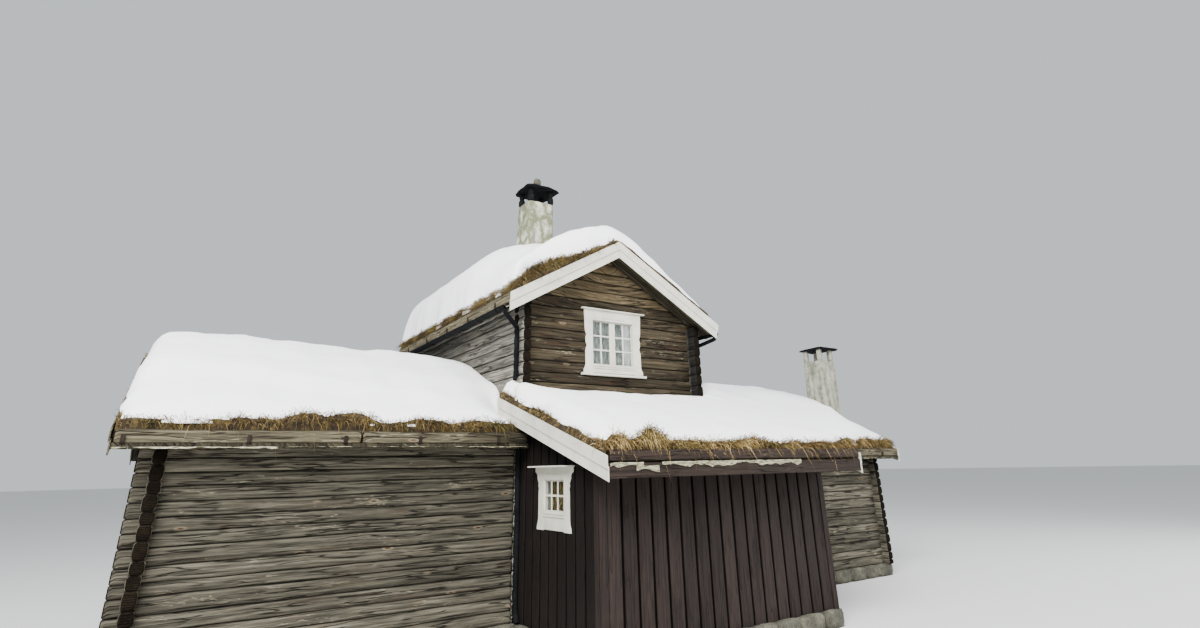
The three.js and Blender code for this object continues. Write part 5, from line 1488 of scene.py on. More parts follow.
def annex_snow_top(y):
    """Annex snow over its sod: thin at the eave, thick midway and hollowed beside the gable wall."""
    hollow = 0.10 * np.exp(-(y / 0.45) ** 2)
    return 0.10 + 0.13 * np.sin(math.pi / 2 * np.clip((y - ANNEX_EAVE) / 1.2, 0, 1)) - hollow


def upper_drift(s, t):
    """Extra snow between the raised part and the low chimney, thickest halfway up the slope."""
    low_slope = 0.21 * soft_step(s, 10.8, 12.7) * (1 - soft_step(t, 1.2, 2.6))
    return (0.09 + low_slope) * soft_step(t, -0.9, 0.3) * (1 - soft_step(s, 12.9, 13.7))


def make_low_snow(step, lumps, rim):
    """Snow of the annex and of the right wing, whose sheet rises to meet the annex's higher roof."""
    left, right = ANNEX_VERGES[0] + BARGE + 0.02, ANNEX_VERGES[1] - BARGE
    front, back = ANNEX_EAVE + ANNEX_LOG + 0.04, RIGHT.high - TURF_LOG - 0.03
    stack = sum(span("right_chimney"), Vector()) / 2
    plain = gable_snow(RIGHT, 0.13, 0.23, 0.28, 0.23, 0.13)

    def ground(_, t):
        return annex_deck(t) + DECK + ANNEX_TURF

    def wing_ground(_, t):
        return RIGHT.deck(t, 0.35) + DECK + TURF

    def thick(s, t):
        """The annex's snow, heaped up against the raised part's corner."""
        return annex_snow_top(t) + 0.10 * np.exp(-((s - left) / 0.35) ** 2) * soft_step(t, -0.8, -0.1)

    def corner_thick(s, t):
        """The front sheet's thickness, carried on behind the corner."""
        return thick(s, np.minimum(t, -0.12)) - 0.004

    def meeting(s, t):
        """Sheet's thickness, raised beside the annex roof and heaped round the chimney."""
        other = ground(s, t) + annex_snow_top(t) - wing_ground(s, t)
        fall = other + upper_drift(s, t) - 0.55 * np.maximum(0, s - right)
        heap = 0.16 * np.exp(-((s - stack.x) ** 2 + (t - stack.y) ** 2) / 0.16)
        front_half = 1 / (1 + np.exp((t - RIDGE_Y - 0.2) / 0.15))
        own = plain(s, t) + upper_drift(s, t)
        return own + heap + (smooth_max(own, fall, 0.12) - own) * front_half

    lumps = lumps * 0.6
    sheets = [
        snow_body(flat_points, spaced(left, MAIN_RIGHT, step, rim), spaced(front, -0.001, step, rim),
                  (rim, 0, rim, 0.12), ground, thick, 83, lumps),
        snow_body(flat_points, spaced(MAIN_RIGHT, right, step), spaced(front, RIDGE_Y + 0.05, step, rim),
                  (0, 0, rim, 0), ground, lambda s, t: thick(s, t) + upper_drift(s, t), 83, lumps),
        snow_body(flat_points, spaced(left, MAIN_LEFT, 0.06), spaced(-0.4, ANNEX_LEFT_BACK, 0.06),
                  (rim, 0, 0.3, 0.15), ground, corner_thick, 84, 0.0),
    ]
    piece("annex_snow_blanket", sheets, ["settled snow"], ["annex_snow"])
    sheets = [
        snow_body(flat_points, spaced(right + 0.001, RIGHT.end - 0.02, step, rim),
                  spaced(RIGHT.low + TURF_LOG + 0.03, back, step, rim), (0, 0.34, rim, rim), wing_ground,
                  meeting, 85, lumps),
        snow_body(flat_points, spaced(MAIN_RIGHT + 0.001, right + 0.001, 0.08),
                  spaced(RIDGE_Y - 0.1, back, step, rim), (0, 0, 0, rim), wing_ground, meeting, 85, lumps),
    ]
    piece("right_wing_snow_blanket", sheets, ["settled snow"], ["right_wing_snow"])


# Chimneys


# Heights of the legs under both caps, and half the height of the stone on the main one
MAIN_LEG = 0.325
RIGHT_LEG = 0.275
CAP_STONE = 0.125


def masonry(low, high, seed):
    """Rough masonry stack: rings of a rounded rectangle, each side pushed in and out by waves.

    A ring point is the middle plus the half sizes times a squared-up cosine and sine.
    """
    z = spaced(low[2], high[2], 0.05)[:, None]
    turn = np.linspace(0, 2 * math.pi, 48, endpoint=False)[None]
    half = (np.asarray(high) - np.asarray(low)) / 2
    middle = (np.asarray(high) + np.asarray(low)) / 2
    push = 1 + 0.012 * waves(z * 1.3, turn * 0.35, seed, 0.5, 4)
    fit = np.ones_like(z)
    fit[[0, -1]] = 0.96
    x = middle[0] + half[0] * bent(np.cos(turn), 2 / 9) * push * fit
    y = middle[1] + half[1] * bent(np.sin(turn), 2 / 9) * push * fit
    return tube(flat_points(x, y, z))


def split_slab(centre, half_x, half_y, z, thick, seed, wobble):
    """Split stone slab: rings of a squarish outline whose reach wanders, thinner at the rim."""
    turn = np.linspace(0, 2 * math.pi, 56, endpoint=False)[None]
    reach = 1 + wobble * waves(np.cos(turn) * 0.5, np.sin(turn) * 0.5, seed, 0.55, 3)
    share = np.array([0.86, 0.99, 1.0, 0.97, 0.85])[:, None]
    level = np.array([0.0, 0.12, 0.55, 0.9, 1.0])[:, None]
    x = centre[0] + half_x * bent(np.cos(turn), 2 / 5) * reach * share
    y = centre[1] + half_y * bent(np.sin(turn), 2 / 5) * reach * share
    zz = z + thick * level + 0.012 * waves(x, y, seed + 1, 0.5)
    return tube(flat_points(x, y, zz))


def boulder(centre, radii, seed, power=1.0, rough=0.08, sides=14, levels=8):
    """Stone: a ball whose cosines and sines are squared up by a power and pushed about by waves."""
    lift = np.linspace(-math.pi / 2 * 0.96, math.pi / 2 * 0.96, levels)[:, None]
    turn = np.linspace(0, 2 * math.pi, sides, endpoint=False)[None]
    push = 1 + rough * waves(np.cos(turn) * np.cos(lift) + seed, np.sin(turn) + np.sin(lift), seed, 1.6, 2)
    x = bent(np.cos(turn), power) * bent(np.cos(lift), power)
    y = bent(np.sin(turn), power) * bent(np.cos(lift), power)
    z = np.broadcast_to(bent(np.sin(lift), power), x.shape)
    rings = np.asarray(centre, float) + np.stack([x, y, z], -1) * np.asarray(radii, float) * push[..., None]
    return tube(rings)


def spread_foot(stack, top, share, middle):
    """Moves a stack's left side out by a share of the depth below the top, down to 1.3 m."""
    stack.v[:, 0] -= share * np.clip(top - stack.v[:, 2], 0, 1.3) * (stack.v[:, 0] < middle)


def make_chimneys():
    """Lime-washed stacks: the main one under split slabs on slate legs, the right one under a plate."""
    low, high = span("main_chimney")
    stack = masonry((low.x, low.y, low.z), (high.x, high.y, high.z - 0.004), 91)
    spread_foot(stack, high.z, 0.05, (low.x + high.x) / 2)
    piece("main_chimney_stack", [stack], ["stained limewash"], ["main_chimney"])
    cap_low, cap_high = span("main_chimney_cap")
    half_x, half_y = (cap_high.x - cap_low.x) / 2, (cap_high.y - cap_low.y) / 2
    middle = ((cap_low.x + cap_high.x) / 2, (cap_low.y + cap_high.y) / 2)
    top = high.z + MAIN_LEG
    parts = []
    # Two stones on each other at each corner
    for k, (x, y, right, back) in enumerate(((low.x, low.y, 1, 1), (high.x, low.y, -1, 1),
                                             (low.x, high.y, 1, -1), (high.x, high.y, -1, -1))):
        for upper, z, reach in ((0, 0.0, 0.060), (1, 0.165, 0.052)):
            centre = (x + right * 0.065, y + back * 0.065, high.z + z + 0.084)
            parts.append(boulder(centre, (reach, reach, 0.090), 930 + 2 * k + upper, 0.5, 0.10))
    for z, thick, reach, droop, seed in ((0.0, 0.036, 1.03, 0.006, 93), (0.034, 0.045, 0.80, 0.004, 94),
                                         (0.075, 0.040, 0.56, 0.0, 97), (0.11, 0.035, 0.34, 0.0, 98)):
        slabs = split_slab((middle[0] - 0.9 * z, middle[1]), half_x * reach, half_y * reach, top + z, thick,
                           seed, 0.06)
        off = np.hypot((slabs.v[:, 0] - middle[0]) / half_x, (slabs.v[:, 1] - middle[1]) / half_y)
        slabs.v[:, 2] -= droop * np.clip(off, 0, 1.2) ** 3
        parts.append(slabs)
    piece("main_chimney_cap_stones", parts, ["split slate"], ["main_chimney_cap"])
    stone = boulder((middle[0] + 0.02, middle[1], top + 0.12 + CAP_STONE), (0.078, 0.085, CAP_STONE), 95,
                    0.85, 0.12, 20, 12)
    piece("main_chimney_cap_stone", [stone], ["field stone"])
    low, high = span("right_chimney")
    cap_low, cap_high = span("right_chimney_cap")
    top = high.z - RIGHT_LEG
    stack = masonry((low.x - 0.02, low.y, low.z), (high.x + 0.035, high.y, top), 92)
    spread_foot(stack, top, 0.055, (low.x + high.x) / 2)
    corners = [(x, y) for x in (low.x + 0.06, high.x - 0.06) for y in (low.y + 0.06, high.y - 0.06)]
    legs = [boulder((x, y, top + RIGHT_LEG / 2), (0.055, 0.055, RIGHT_LEG / 2 + 0.012), 920 + k, 0.5, 0.06)
            for k, (x, y) in enumerate(corners)]
    piece("right_chimney_stack", [stack, *legs], ["streaked limewash"],
          ["right_chimney"])
    middle = ((cap_low.x + cap_high.x) / 2 + 0.045, (cap_low.y + cap_high.y) / 2)
    half_x, half_y = (cap_high.x - cap_low.x) / 2, (cap_high.y - cap_low.y) / 2
    slabs = [split_slab(middle, half_x * 0.98, half_y * 0.98, high.z + 0.001, 0.035, 96, 0.04),
             split_slab(middle, half_x * 0.7, half_y * 0.75, high.z + 0.03, 0.025, 99, 0.08)]
    piece("right_chimney_cap_stones", slabs, ["split slate"], ["right_chimney_cap"])


# Windows


def carved_side(x_inner, x_outer, z0, z1, profile, sign):
    """Flat trim board on the wall with a carved outer edge, as five-sided rings up the board.

    profile gives the share of the width at each height share, read along a smooth line.
    """
    share = np.linspace(0, 1, 72)
    z = (z0 + (z1 - z0) * share)[:, None]
    outer = (x_inner + (x_outer - x_inner) * np.interp(share, *profile))[:, None]
    rim = outer - sign * 0.003
    x = np.concatenate([0 * z + x_inner, rim, outer, rim, 0 * z + x_inner], 1)
    y = -TRIM_THICK * np.array([0, 0, 0.5, 1, 1])
    return tube(flat_points(x, y, z))


def turn_onto_wall(patches, origin, turn):
    """Sets patches made in a window's own frame (x along the wall, y into it) on their wall."""
    c, s = math.cos(turn), math.sin(turn)
    matrix = np.array([[c, s, 0], [-s, c, 0], [0, 0, 1]])
    for p in patches:
        p.v = p.v @ matrix + np.asarray(origin, float)


# Shares of a trim's height, and its width there
UPPER_PROFILE = ((0.0, 0.05, 0.09, 0.12, 0.34, 0.38, 0.42, 0.46, 0.54, 0.58, 0.62, 0.68, 0.85, 1.0),
                 (1.0, 1.0, 0.86, 0.80, 0.80, 0.72, 0.64, 0.76, 0.78, 0.66, 0.78, 0.84, 0.88, 0.92))
# The annex window's trims widen into shoulders at the top
ANNEX_PROFILE = ((0.0, 0.05, 0.12, 0.18, 0.60, 0.64, 0.68, 0.72, 0.76, 0.80, 0.84, 0.88, 0.90, 1.0),
                 (0.95, 0.94, 0.80, 0.76, 0.74, 0.68, 0.80, 0.73, 0.84, 0.94, 0.92, 1.05, 1.25, 1.25))


TRIM_THICK = 0.021
# Panes across and up each casement, the casements and the width of their meeting stiles, how far
# the sill and the drip board reach out, and how far in the casements stand and how deep they are
UPPER_FORM = {"profile": UPPER_PROFILE, "columns": 2, "rows": 3, "casements": 2, "meeting": 0.060,
              "sill_out": 0.05, "drip": 0.06, "inset": 0.016, "deep": 0.036}
ANNEX_FORM = {"profile": ANNEX_PROFILE, "columns": 3, "rows": 2, "casements": 1, "meeting": 0.012,
              "sill_out": 0.0, "drip": 0.16, "inset": -0.008, "deep": 0.018}


def window_frame(half_trim, z0, z1, half_glass, g0, g1, profile, columns, rows, casements, meeting, sill_out,
                 drip, inset, deep):
    """White window: casing, flat trims with carved edges, sill, drip board, casements and bars.

    The trims reach half_trim to both sides between z0 and z1, and the glass half_glass between g0
    and g1. The other arguments are those of UPPER_FORM and ANNEX_FORM.
    """
    made = []
    inner, outer = half_glass + 0.011, half_glass + 0.058
    for sign in (-1, 1):
        made.append(carved_side(sign * (half_glass + 0.012), sign * half_trim, z0, z1, profile, sign))
        left, right = sorted((sign * (half_glass + 0.001), sign * outer))
        made.append(slab((left, -0.012, g0 - 0.05), (right, 0.088, g1 + 0.05)))
    # Head and foot boards, the casing over and under the glass, and the drip board over the head
    for low, high, edge in (
        ((-inner, -TRIM_THICK, g1 + 0.012), (inner, 0, z1 - 0.006), 0.002),
        ((-inner, -TRIM_THICK, z0 + 0.01), (inner, 0, g0 - 0.012), 0.002),
        ((-outer, -0.012, g0 - 0.058), (outer, 0.088, g0 - 0.001), 0.004),
        ((-outer, -0.012, g1 + 0.001), (outer, 0.088, g1 + 0.058), 0.004),
        ((-half_trim - 0.04, -drip, z1 - 0.022), (half_trim + 0.06, 0.0, z1), 0.004),
    ):
        made.append(slab(low, high, chamfer=edge))
    if sill_out:
        made.append(slab((-half_trim - sill_out, -0.06, z0 - 0.042), (half_trim + sill_out, 0.0, z0 - 0.004)))
    # Rails moulded on the head and foot boards
    for left, right, out, back, low, high in (
        (half_glass * 0.55, half_glass * 0.55, 0.030, 0.02, g1 + 0.055, g1 + 0.078),
        (half_glass + 0.02, half_glass + 0.04, 0.034, 0.02, g0 - 0.075, g0 - 0.05),
        (half_glass + 0.02, half_glass + 0.02, 0.030, 0.018, g0 - 0.04, g0 - 0.018),
    ):
        made.append(slab((-left, -out, low), (right, -back, high), chamfer=0.003))
    stile, bead = 0.012, 0.013
    back, bar_front = inset + deep, inset + 0.28 * deep
    width = 2 * half_glass / casements
    for c in range(casements):
        x0, x1 = -half_glass + c * width, -half_glass + (c + 1) * width
        left, right = stile if c == 0 else meeting, stile if c == casements - 1 else meeting
        for a, b in ((x0 + 0.001, x0 + left), (x1 - right, x1 - 0.001)):
            made.append(slab((a, inset, g0 + 0.002), (b, back, g1 - 0.002)))
        for a, b in ((g0 + 0.002, g0 + stile), (g1 - stile, g1 - 0.002)):
            made.append(slab((x0 + left, inset + 0.001, a), (x1 - right, back - 0.001, b)))
        for k in range(1, columns):
            x = x0 + left + (width - left - right) * k / columns
            made.append(slab((x - bead, bar_front, g0 + stile), (x + bead, back - 0.002, g1 - stile)))
        for k in range(1, rows):
            z = g0 + stile + (g1 - g0 - 2 * stile) * k / rows
            made.append(slab((x0 + left, bar_front + 0.001, z - bead), (x1 - right, back - 0.003, z + bead)))
    return made


# How far the curtains hang behind the wall's face, and their cut width as a share of the hung one
CURTAIN_DEPTH = 0.0973
GATHER = 1.35


def curtain_sheet(half_width, z0, z1, folds):
    """Gathered curtain: points and cloth coordinates of a sheet whose depth is a sine across it.

    The folds swing by 6.5 mm midway and by half of that at the rod and the hem, and wander
    across the sheet.
    """
    u = np.linspace(-1, 1, 160)[None]
    w = np.linspace(0, 1, 24)[:, None]
    swing = 0.0065 * (0.75 + 0.25 * np.cos(2 * math.pi * w + 3.0))
    y = CURTAIN_DEPTH + swing * np.sin(math.pi * folds * u + 0.6 * np.sin(3 * u + 3.0) + 0.2 * w)
    cloth = np.stack(np.broadcast_arrays(half_width * u * GATHER, (z1 - z0) * w), -1)
    return flat_points(half_width * u, y, z0 + (z1 - z0) * w), cloth


def make_windows():
    """Upper front and back windows with two casements, and the annex's small one, with curtains."""
    for name, axis, wall, turn, form, lace, folds in (
        ("upper_window", 0, 0.0, 0.0, UPPER_FORM, "cotton lace", 14),
        ("back_window", 0, DEPTH, math.pi, UPPER_FORM, None, 0),
        ("annex_window", 1, ANNEX_LEFT, -math.pi / 2, ANNEX_FORM, "tea-brown cotton lace", 9),
    ):
        low, high = span(name + "_glass")
        frame_low, frame_high = span(name + "_frame")
        middle = (low[axis] + high[axis]) / 2
        origin = (wall, middle, 0.0) if axis else (middle, wall, 0.0)
        half_glass = (high[axis] - low[axis]) / 2 + 0.0003
        half_trim = (frame_high[axis] - frame_low[axis] - 0.11) / 2
        parts = window_frame(half_trim, frame_low.z + 0.045, frame_high.z, half_glass, low.z, high.z, **form)
        turn_onto_wall(parts, origin, turn)
        piece(name + "_joinery", parts, ["white oil paint"], [name + "_frame"], smooth=False)
        dress(name + "_glass", "drawn window glass")
        if lace is None:
            continue
        cloth_low, cloth_high = span(name + "_curtain")
        v, cloth = curtain_sheet((cloth_high[axis] - cloth_low[axis]) / 2, cloth_low.z, cloth_high.z, folds)
        patch = Patch(v, grid_quads(*v.shape[:2])[:, ::-1], np.zeros((0, 3)), cloth)
        turn_onto_wall([patch], origin, turn)
        made = piece(name + "_lace", [patch], [lace], [name + "_curtain"])


# Gutters and pipes

GUTTER_RADIUS = 0.06
GUTTER_SHEET = 0.004
PIPE_RADIUS = 0.038


def collar(x, y, z, past, bracket_end):
    """Ring round an upright pipe, past its surface, and the bracket that holds it to the wall."""
    return [pipe([(x, y, z - 0.012), (x, y, z + 0.012)], PIPE_RADIUS + past, 16),
            pipe([(x, y, z), (*bracket_end, z)], 0.008, 8)]


def make_gutters():
    """Half-round gutters along the middle part's eaves, their pipes, and the left corner's downpipe."""
    look, foot = ["black painted sheet"], 3.70
    turn = np.linspace(math.pi, 2 * math.pi, 14)
    circle = np.stack([np.cos(turn), np.sin(turn)], -1)
    outline = np.concatenate([GUTTER_RADIUS * circle, (GUTTER_RADIUS - GUTTER_SHEET) * circle[::-1]])
    arc = np.linspace(math.pi * 0.98, math.pi * 2.02, 10)
    strap = GUTTER_RADIUS + 0.004
    y = np.array([MAIN.start, MAIN.start + 0.01, MAIN.end - 0.01, MAIN.end])
    for side, eave, wall, out, wall_y in (("left", MAIN.low, MAIN_LEFT, -1, -0.045),
                                          ("right", MAIN.high, MAIN_RIGHT, 1, 0.30)):
        x = eave + out * (GUTTER_RADIUS + 0.0003)
        z = float(MAIN.deck(eave)) + 0.01
        patches = [tube(flat_points(x + outline[None, :, 0], y[:, None], z + outline[None, :, 1])),
                   pipe(flat_points(x + out * GUTTER_RADIUS, y[[0, -1]], z), 0.008, 8)]
        drop = z - GUTTER_RADIUS
        wall_x = wall + out * (PIPE_RADIUS + 0.008)
        corner = [(wall + out * 0.245, 0.15, drop - 0.13)] if out > 0 else []
        route = [(x, -0.33, drop + 0.003), (x, -0.33, drop - 0.05), *corner, (wall_x, wall_y, drop - 0.21),
                 (wall_x, wall_y, drop - 0.27), (wall_x, wall_y, foot)]
        patches.append(pipe(rounded_path(route, 0.05), PIPE_RADIUS, 16))
        for joint in (0.1, 0.5, 0.92):
            z_joint = foot + 0.02 + (drop - 0.34 - foot) * joint
            patches += collar(wall_x, wall_y, z_joint, 0.006, (wall + 0.02 * out, wall_y))
        patches += [pipe(flat_points(x + strap * np.cos(arc), y_strap, z + strap * np.sin(arc)), 0.006, 6)
                    for y_strap in np.arange(MAIN.start + 0.3, MAIN.end, 0.8)]
        piece(f"main_{side}_gutter_and_pipe", patches, look, [f"main_{side}_gutter"])
    x, y = ANNEX_LEFT - 0.05, -0.05
    route = rounded_path([(x, y, 2.66), (x, y, 0.42), (x - 0.02, y - 0.1, 0.26)], 0.08)
    patches = [pipe(route, PIPE_RADIUS, 16)]
    for z in (0.8, 1.6, 2.4):
        patches += collar(x, y, z, 0.005, (x, 0.02))
    piece("left_corner_downpipe", patches, look)


# Foundation

STONE_LENGTH = 0.46


def make_foundation():
    """Low dry-stone footing: squarish field stones laid end to end round the house."""
    dress("stone_foundation", "field stone")
    out = 0.03
    left, right = ANNEX_LEFT - out, ANNEX_RIGHT + out
    outline = [(-out, -out), (left, -out), (left, ANNEX_FRONT - out), (right, ANNEX_FRONT - out),
               (right, -out), (HOUSE_RIGHT + out, -out), (HOUSE_RIGHT + out, DEPTH + out),
               (-out, DEPTH + out), (-out, -out)]
    rng = np.random.default_rng(101)
    stones = []
    for (x0, y0), (x1, y1) in zip(outline, outline[1:]):
        run = math.hypot(x1 - x0, y1 - y0)
        count = max(1, round(run / STONE_LENGTH))
        inner = np.linspace(0, run, count + 1)[1:-1] + rng.uniform(-0.06, 0.06, count - 1)
        cuts = np.sort(np.concatenate([[0, run], inner]))
        for a, b in zip(cuts, cuts[1:]):
            share = (a + b) / 2 / run
            half = (b - a) / 2 + 0.004
            radii = (half, 0.07, 0.116) if y0 == y1 else (0.07, half, 0.116)
            stones.append(boulder((x0 + (x1 - x0) * share, y0 + (y1 - y0) * share, 0.126), radii,
                                  int(rng.integers(1, 9999)), 0.5, 0.04, 16))
    piece("footing_stones", stones, ["field stone"])


# Stage

FLOOR_HALF = 200.0


def make_stage():
    """Plain pale floor and world, two large soft lights in front of the house, and the camera."""
    mesh = bpy.data.meshes.new("floor")
    s = FLOOR_HALF
    mesh.from_pydata([(-s, -s, 0), (s, -s, 0), (s, s, 0), (-s, s, 0)], [], [(0, 1, 2, 3)])
    floor = bpy.data.objects.new("floor", mesh)
    bpy.context.scene.collection.objects.link(floor)
    surface("pale floor", {"Roughness": 0.9, "Base Color": linear("#d5d5d3")})
    mesh.materials.append(LOOKS["pale floor"])

    world = bpy.data.worlds.new("studio")
    bpy.context.scene.world = world
    world.use_nodes = True
    background = world.node_tree.nodes["Background"]
    background.inputs["Color"].default_value = linear("#c3c8cd")
    background.inputs["Strength"].default_value = 1.3

    for name, place, size, power in (("key", (-13, -14, 16), 12.0, 15500.0),
                                     ("fill", (16, -14, 9), 12.0, 3600.0)):
        light = bpy.data.lights.new(name, "AREA")
        light.size = size
        light.energy = power
        holder = bpy.data.objects.new(name, light)
        holder.location = place
        holder.rotation_euler = (Vector((0, 0, 2.5)) - Vector(place)).to_track_quat("-Z", "Y").to_euler()
        bpy.context.scene.collection.objects.link(holder)
    make_camera()


def make_camera():
    """The camera of the photograph: heading, pitch and roll about its place, and a shifted frame."""
    right = Vector((math.cos(HEADING), -math.sin(HEADING), 0))
    ahead = Vector((math.sin(HEADING) * math.cos(LOOK_UP), math.cos(HEADING) * math.cos(LOOK_UP),
                    math.sin(LOOK_UP)))
    down = ahead.cross(right)
    side = math.cos(ROLL) * right + math.sin(ROLL) * down
    low = -math.sin(ROLL) * right + math.cos(ROLL) * down
    camera = bpy.data.cameras.new("photo")
    camera.sensor_width = SENSOR
    camera.lens = FOCAL_PIXELS * SENSOR / PHOTO_WIDTH
    camera.shift_y = -(PHOTO_HEIGHT / 2 - PRINCIPAL_Y) / PHOTO_WIDTH
    holder = bpy.data.objects.new("photo", camera)
    turn = Matrix((side, -low, -ahead)).transposed().to_4x4()
    holder.matrix_world = Matrix.Translation(EYE) @ turn
    bpy.context.scene.collection.objects.link(holder)
    bpy.context.scene.camera = holder


# Add-on


def length_property(name, description, default, **limits):
    """Length property in metres."""
    return FloatProperty(name=name, description=description, default=default, subtype="DISTANCE",
                         unit="LENGTH", **limits)


def colour_property(name, description, hex_colour):
    """Colour property whose default is an sRGB colour turned linear."""
    return FloatVectorProperty(name=name, description=description, subtype="COLOR", size=3, min=0.0, max=1.0,
                               default=linear(hex_colour)[:3])


class CabinSizes(bpy.types.PropertyGroup):
    """Sizes that shape the cabin's surfaces."""

    log_station: length_property("Log stations", "Distance between rings along a log", 0.16, min=0.02)
    log_sides: IntProperty(name="Log sides", description="Points round a log", default=18, min=8)
    log_roll: length_property("Log roll", "How far a hewn face wanders", 0.005)
    seam_wave: length_property("Seam wave", "How far a seam rolls along the wall", 0.005)
    seam_wander: length_property("Course wander", "How much courses differ in height", 0.018)
    board_module: length_property("Board module", "Width of one annex board with its gap", 0.245)
    grass_per_metre: IntProperty(name="Grass", description="Blades on each metre of an eave", default=420)
    snow_step: length_property("Snow grid", "Distance between the snow's grid lines", 0.11)
    snow_lumps: length_property("Snow lumps", "Height of the snow's waves", 0.03)


class CabinColours(bpy.types.PropertyGroup):
    """Main colours of the cabin's finishes."""

    middle_logs: colour_property("Middle logs", "Sun-browned logs of the raised part's gables", "#373024")
    dried_logs: colour_property("Dried logs", "Tan logs high in the raised part's gables", "#695c45")
    side_logs: colour_property("Side logs", "Silver-grey logs of the raised part's sides", "#6f6c64")
    wing_logs: colour_property("Wing logs", "Grey-brown logs of the low wings", "#534f44")
    eave_timber: colour_property("Eave timbers", "Weathered turf logs, deck and plain bargeboards", "#554f3f")
    annex_boards: colour_property("Annex boards", "Dark stained cladding", "#29211e")
    trim: colour_property("Brown trim", "Stained eave board and frames", "#2e2520")
    white_paint: colour_property("White paint", "Bargeboards and windows", "#bdbbae")
    snow: colour_property("Snow", "Settled snow", "#fbfbfa")
    grass: colour_property("Grass", "Straw of the dead grass", "#836b3b")
    limewash: colour_property("Limewash", "Chimney stacks", "#a8a898")


class CABIN_OT_finishes(bpy.types.Operator):
    """Makes the materials of every finish on the house"""

    bl_idname = "cabin.finishes"
    bl_label = "Finishes"

    def execute(self, context):
        make_looks(context.scene.cabin_colours)
        return {"FINISHED"}


class CABIN_OT_wing_walls(bpy.types.Operator):
    """Stacks the logs of both low wings"""

    bl_idname = "cabin.wing_walls"
    bl_label = "Wing walls"

    def execute(self, context):
        make_wing_walls(context.scene.cabin_sizes)
        return {"FINISHED"}


class CABIN_OT_main_walls(bpy.types.Operator):
    """Stacks the logs of the raised middle part"""

    bl_idname = "cabin.main_walls"
    bl_label = "Middle walls"

    def execute(self, context):
        make_main_walls(context.scene.cabin_sizes)
        return {"FINISHED"}


class CABIN_OT_annex_walls(bpy.types.Operator):
    """Clads the annex with upright boards"""

    bl_idname = "cabin.annex_walls"
    bl_label = "Annex boards"

    def execute(self, context):
        make_annex_walls(context.scene.cabin_sizes)
        return {"FINISHED"}


class CABIN_OT_annex_door(bpy.types.Operator):
    """Hangs the plank door of the annex"""

    bl_idname = "cabin.annex_door"
    bl_label = "Door"

    def execute(self, context):
        make_annex_door()
        return {"FINISHED"}


class CABIN_OT_decks(bpy.types.Operator):
    """Lays the roof boards and the floor boards"""

    bl_idname = "cabin.decks"
    bl_label = "Decks and floors"

    def execute(self, context):
        make_decks()
        return {"FINISHED"}


class CABIN_OT_bargeboards(bpy.types.Operator):
    """Nails the bargeboards on every verge"""

    bl_idname = "cabin.bargeboards"
    bl_label = "Bargeboards"

    def execute(self, context):
        make_bargeboards()
        return {"FINISHED"}


class CABIN_OT_turf_logs(bpy.types.Operator):
    """Lays the logs and hooks that hold the sod"""

    bl_idname = "cabin.turf_logs"
    bl_label = "Turf logs"

    def execute(self, context):
        make_turf_logs(context.scene.cabin_sizes)
        return {"FINISHED"}


class CABIN_OT_sod(bpy.types.Operator):
    """Lays the sod on every roof"""

    bl_idname = "cabin.sod"
    bl_label = "Sod"

    def execute(self, context):
        make_sod()
        return {"FINISHED"}


class CABIN_OT_grass(bpy.types.Operator):
    """Grows dead grass along eaves and verges"""

    bl_idname = "cabin.grass"
    bl_label = "Grass"

    def execute(self, context):
        make_grass(context.scene.cabin_sizes)
        return {"FINISHED"}


class CABIN_OT_snow(bpy.types.Operator):
    """Covers the roofs with snow"""

    bl_idname = "cabin.snow"
    bl_label = "Snow"

    def execute(self, context):
        make_snow(context.scene.cabin_sizes)
        return {"FINISHED"}


class CABIN_OT_chimneys(bpy.types.Operator):
    """Builds both chimneys and their caps"""

    bl_idname = "cabin.chimneys"
    bl_label = "Chimneys"

    def execute(self, context):
        make_chimneys()
        return {"FINISHED"}


class CABIN_OT_windows(bpy.types.Operator):
    """Makes the windows and hangs their curtains"""

    bl_idname = "cabin.windows"
    bl_label = "Windows"

    def execute(self, context):
        make_windows()
        return {"FINISHED"}


class CABIN_OT_gutters(bpy.types.Operator):
    """Fits gutters and downpipes"""

    bl_idname = "cabin.gutters"
    bl_label = "Gutters"

    def execute(self, context):
        make_gutters()
        return {"FINISHED"}


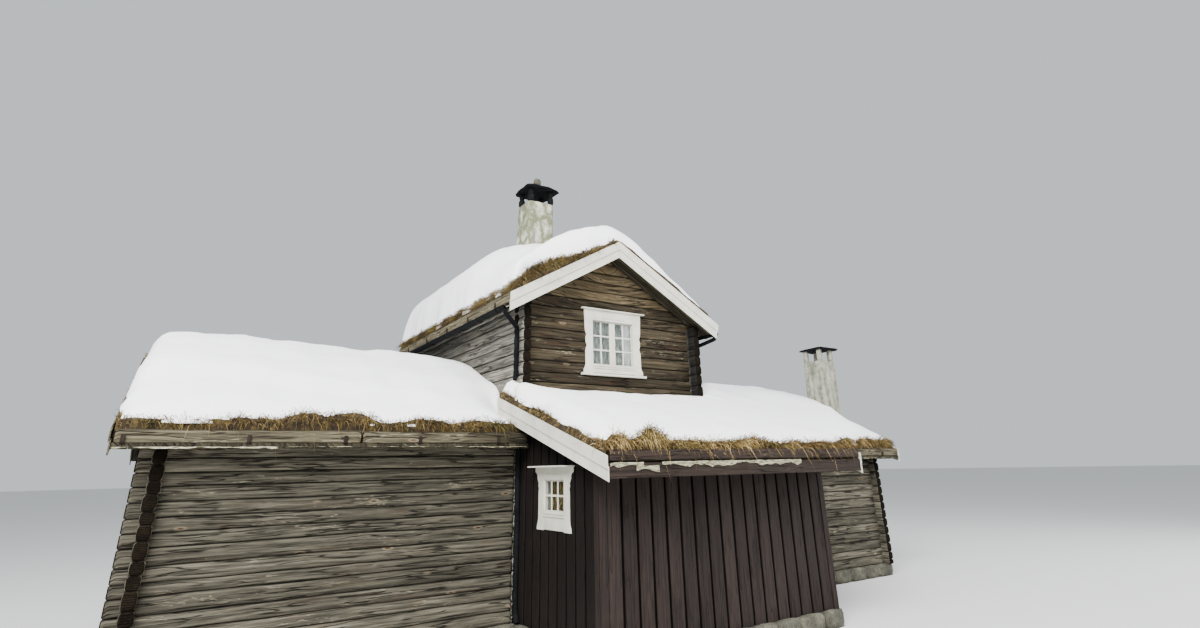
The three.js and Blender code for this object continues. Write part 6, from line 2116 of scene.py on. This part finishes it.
class CABIN_OT_foundation(bpy.types.Operator):
    """Lays the footing stones"""

    bl_idname = "cabin.foundation"
    bl_label = "Foundation"

    def execute(self, context):
        make_foundation()
        return {"FINISHED"}


class CABIN_OT_stage(bpy.types.Operator):
    """Sets the floor, the lights and the camera"""

    bl_idname = "cabin.stage"
    bl_label = "Stage"

    def execute(self, context):
        make_stage()
        return {"FINISHED"}


OPERATORS = (
    CABIN_OT_finishes, CABIN_OT_wing_walls, CABIN_OT_main_walls,
    CABIN_OT_annex_walls, CABIN_OT_annex_door, CABIN_OT_decks,
    CABIN_OT_bargeboards, CABIN_OT_turf_logs, CABIN_OT_sod,
    CABIN_OT_grass, CABIN_OT_snow, CABIN_OT_chimneys,
    CABIN_OT_windows, CABIN_OT_gutters, CABIN_OT_foundation,
    CABIN_OT_stage,
)


class CABIN_PT_looks(bpy.types.Panel):
    """Lists the cabin's sizes and steps"""

    bl_idname = "CABIN_PT_looks"
    bl_label = "Log cabin"
    bl_space_type = "VIEW_3D"
    bl_region_type = "UI"
    bl_category = "Cabin"

    def draw(self, context):
        for name in CabinSizes.__annotations__:
            self.layout.prop(context.scene.cabin_sizes, name)
        for name in CabinColours.__annotations__:
            self.layout.prop(context.scene.cabin_colours, name)
        for step in OPERATORS:
            self.layout.operator(step.bl_idname)


CLASSES = (CabinSizes, CabinColours, *OPERATORS, CABIN_PT_looks)


def register():
    """Registers the classes and puts the sizes and colours on the scene."""
    for made in CLASSES:
        bpy.utils.register_class(made)
    bpy.types.Scene.cabin_sizes = PointerProperty(type=CabinSizes)
    bpy.types.Scene.cabin_colours = PointerProperty(type=CabinColours)


def unregister():
    """Takes the sizes, the colours and the classes away again."""
    del bpy.types.Scene.cabin_sizes
    del bpy.types.Scene.cabin_colours
    for made in reversed(CLASSES):
        bpy.utils.unregister_class(made)


def main():
    register()
    for step in OPERATORS:
        getattr(bpy.ops.cabin, step.bl_idname.split(".")[1])()
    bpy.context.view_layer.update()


if __name__ == "__main__":
    main()
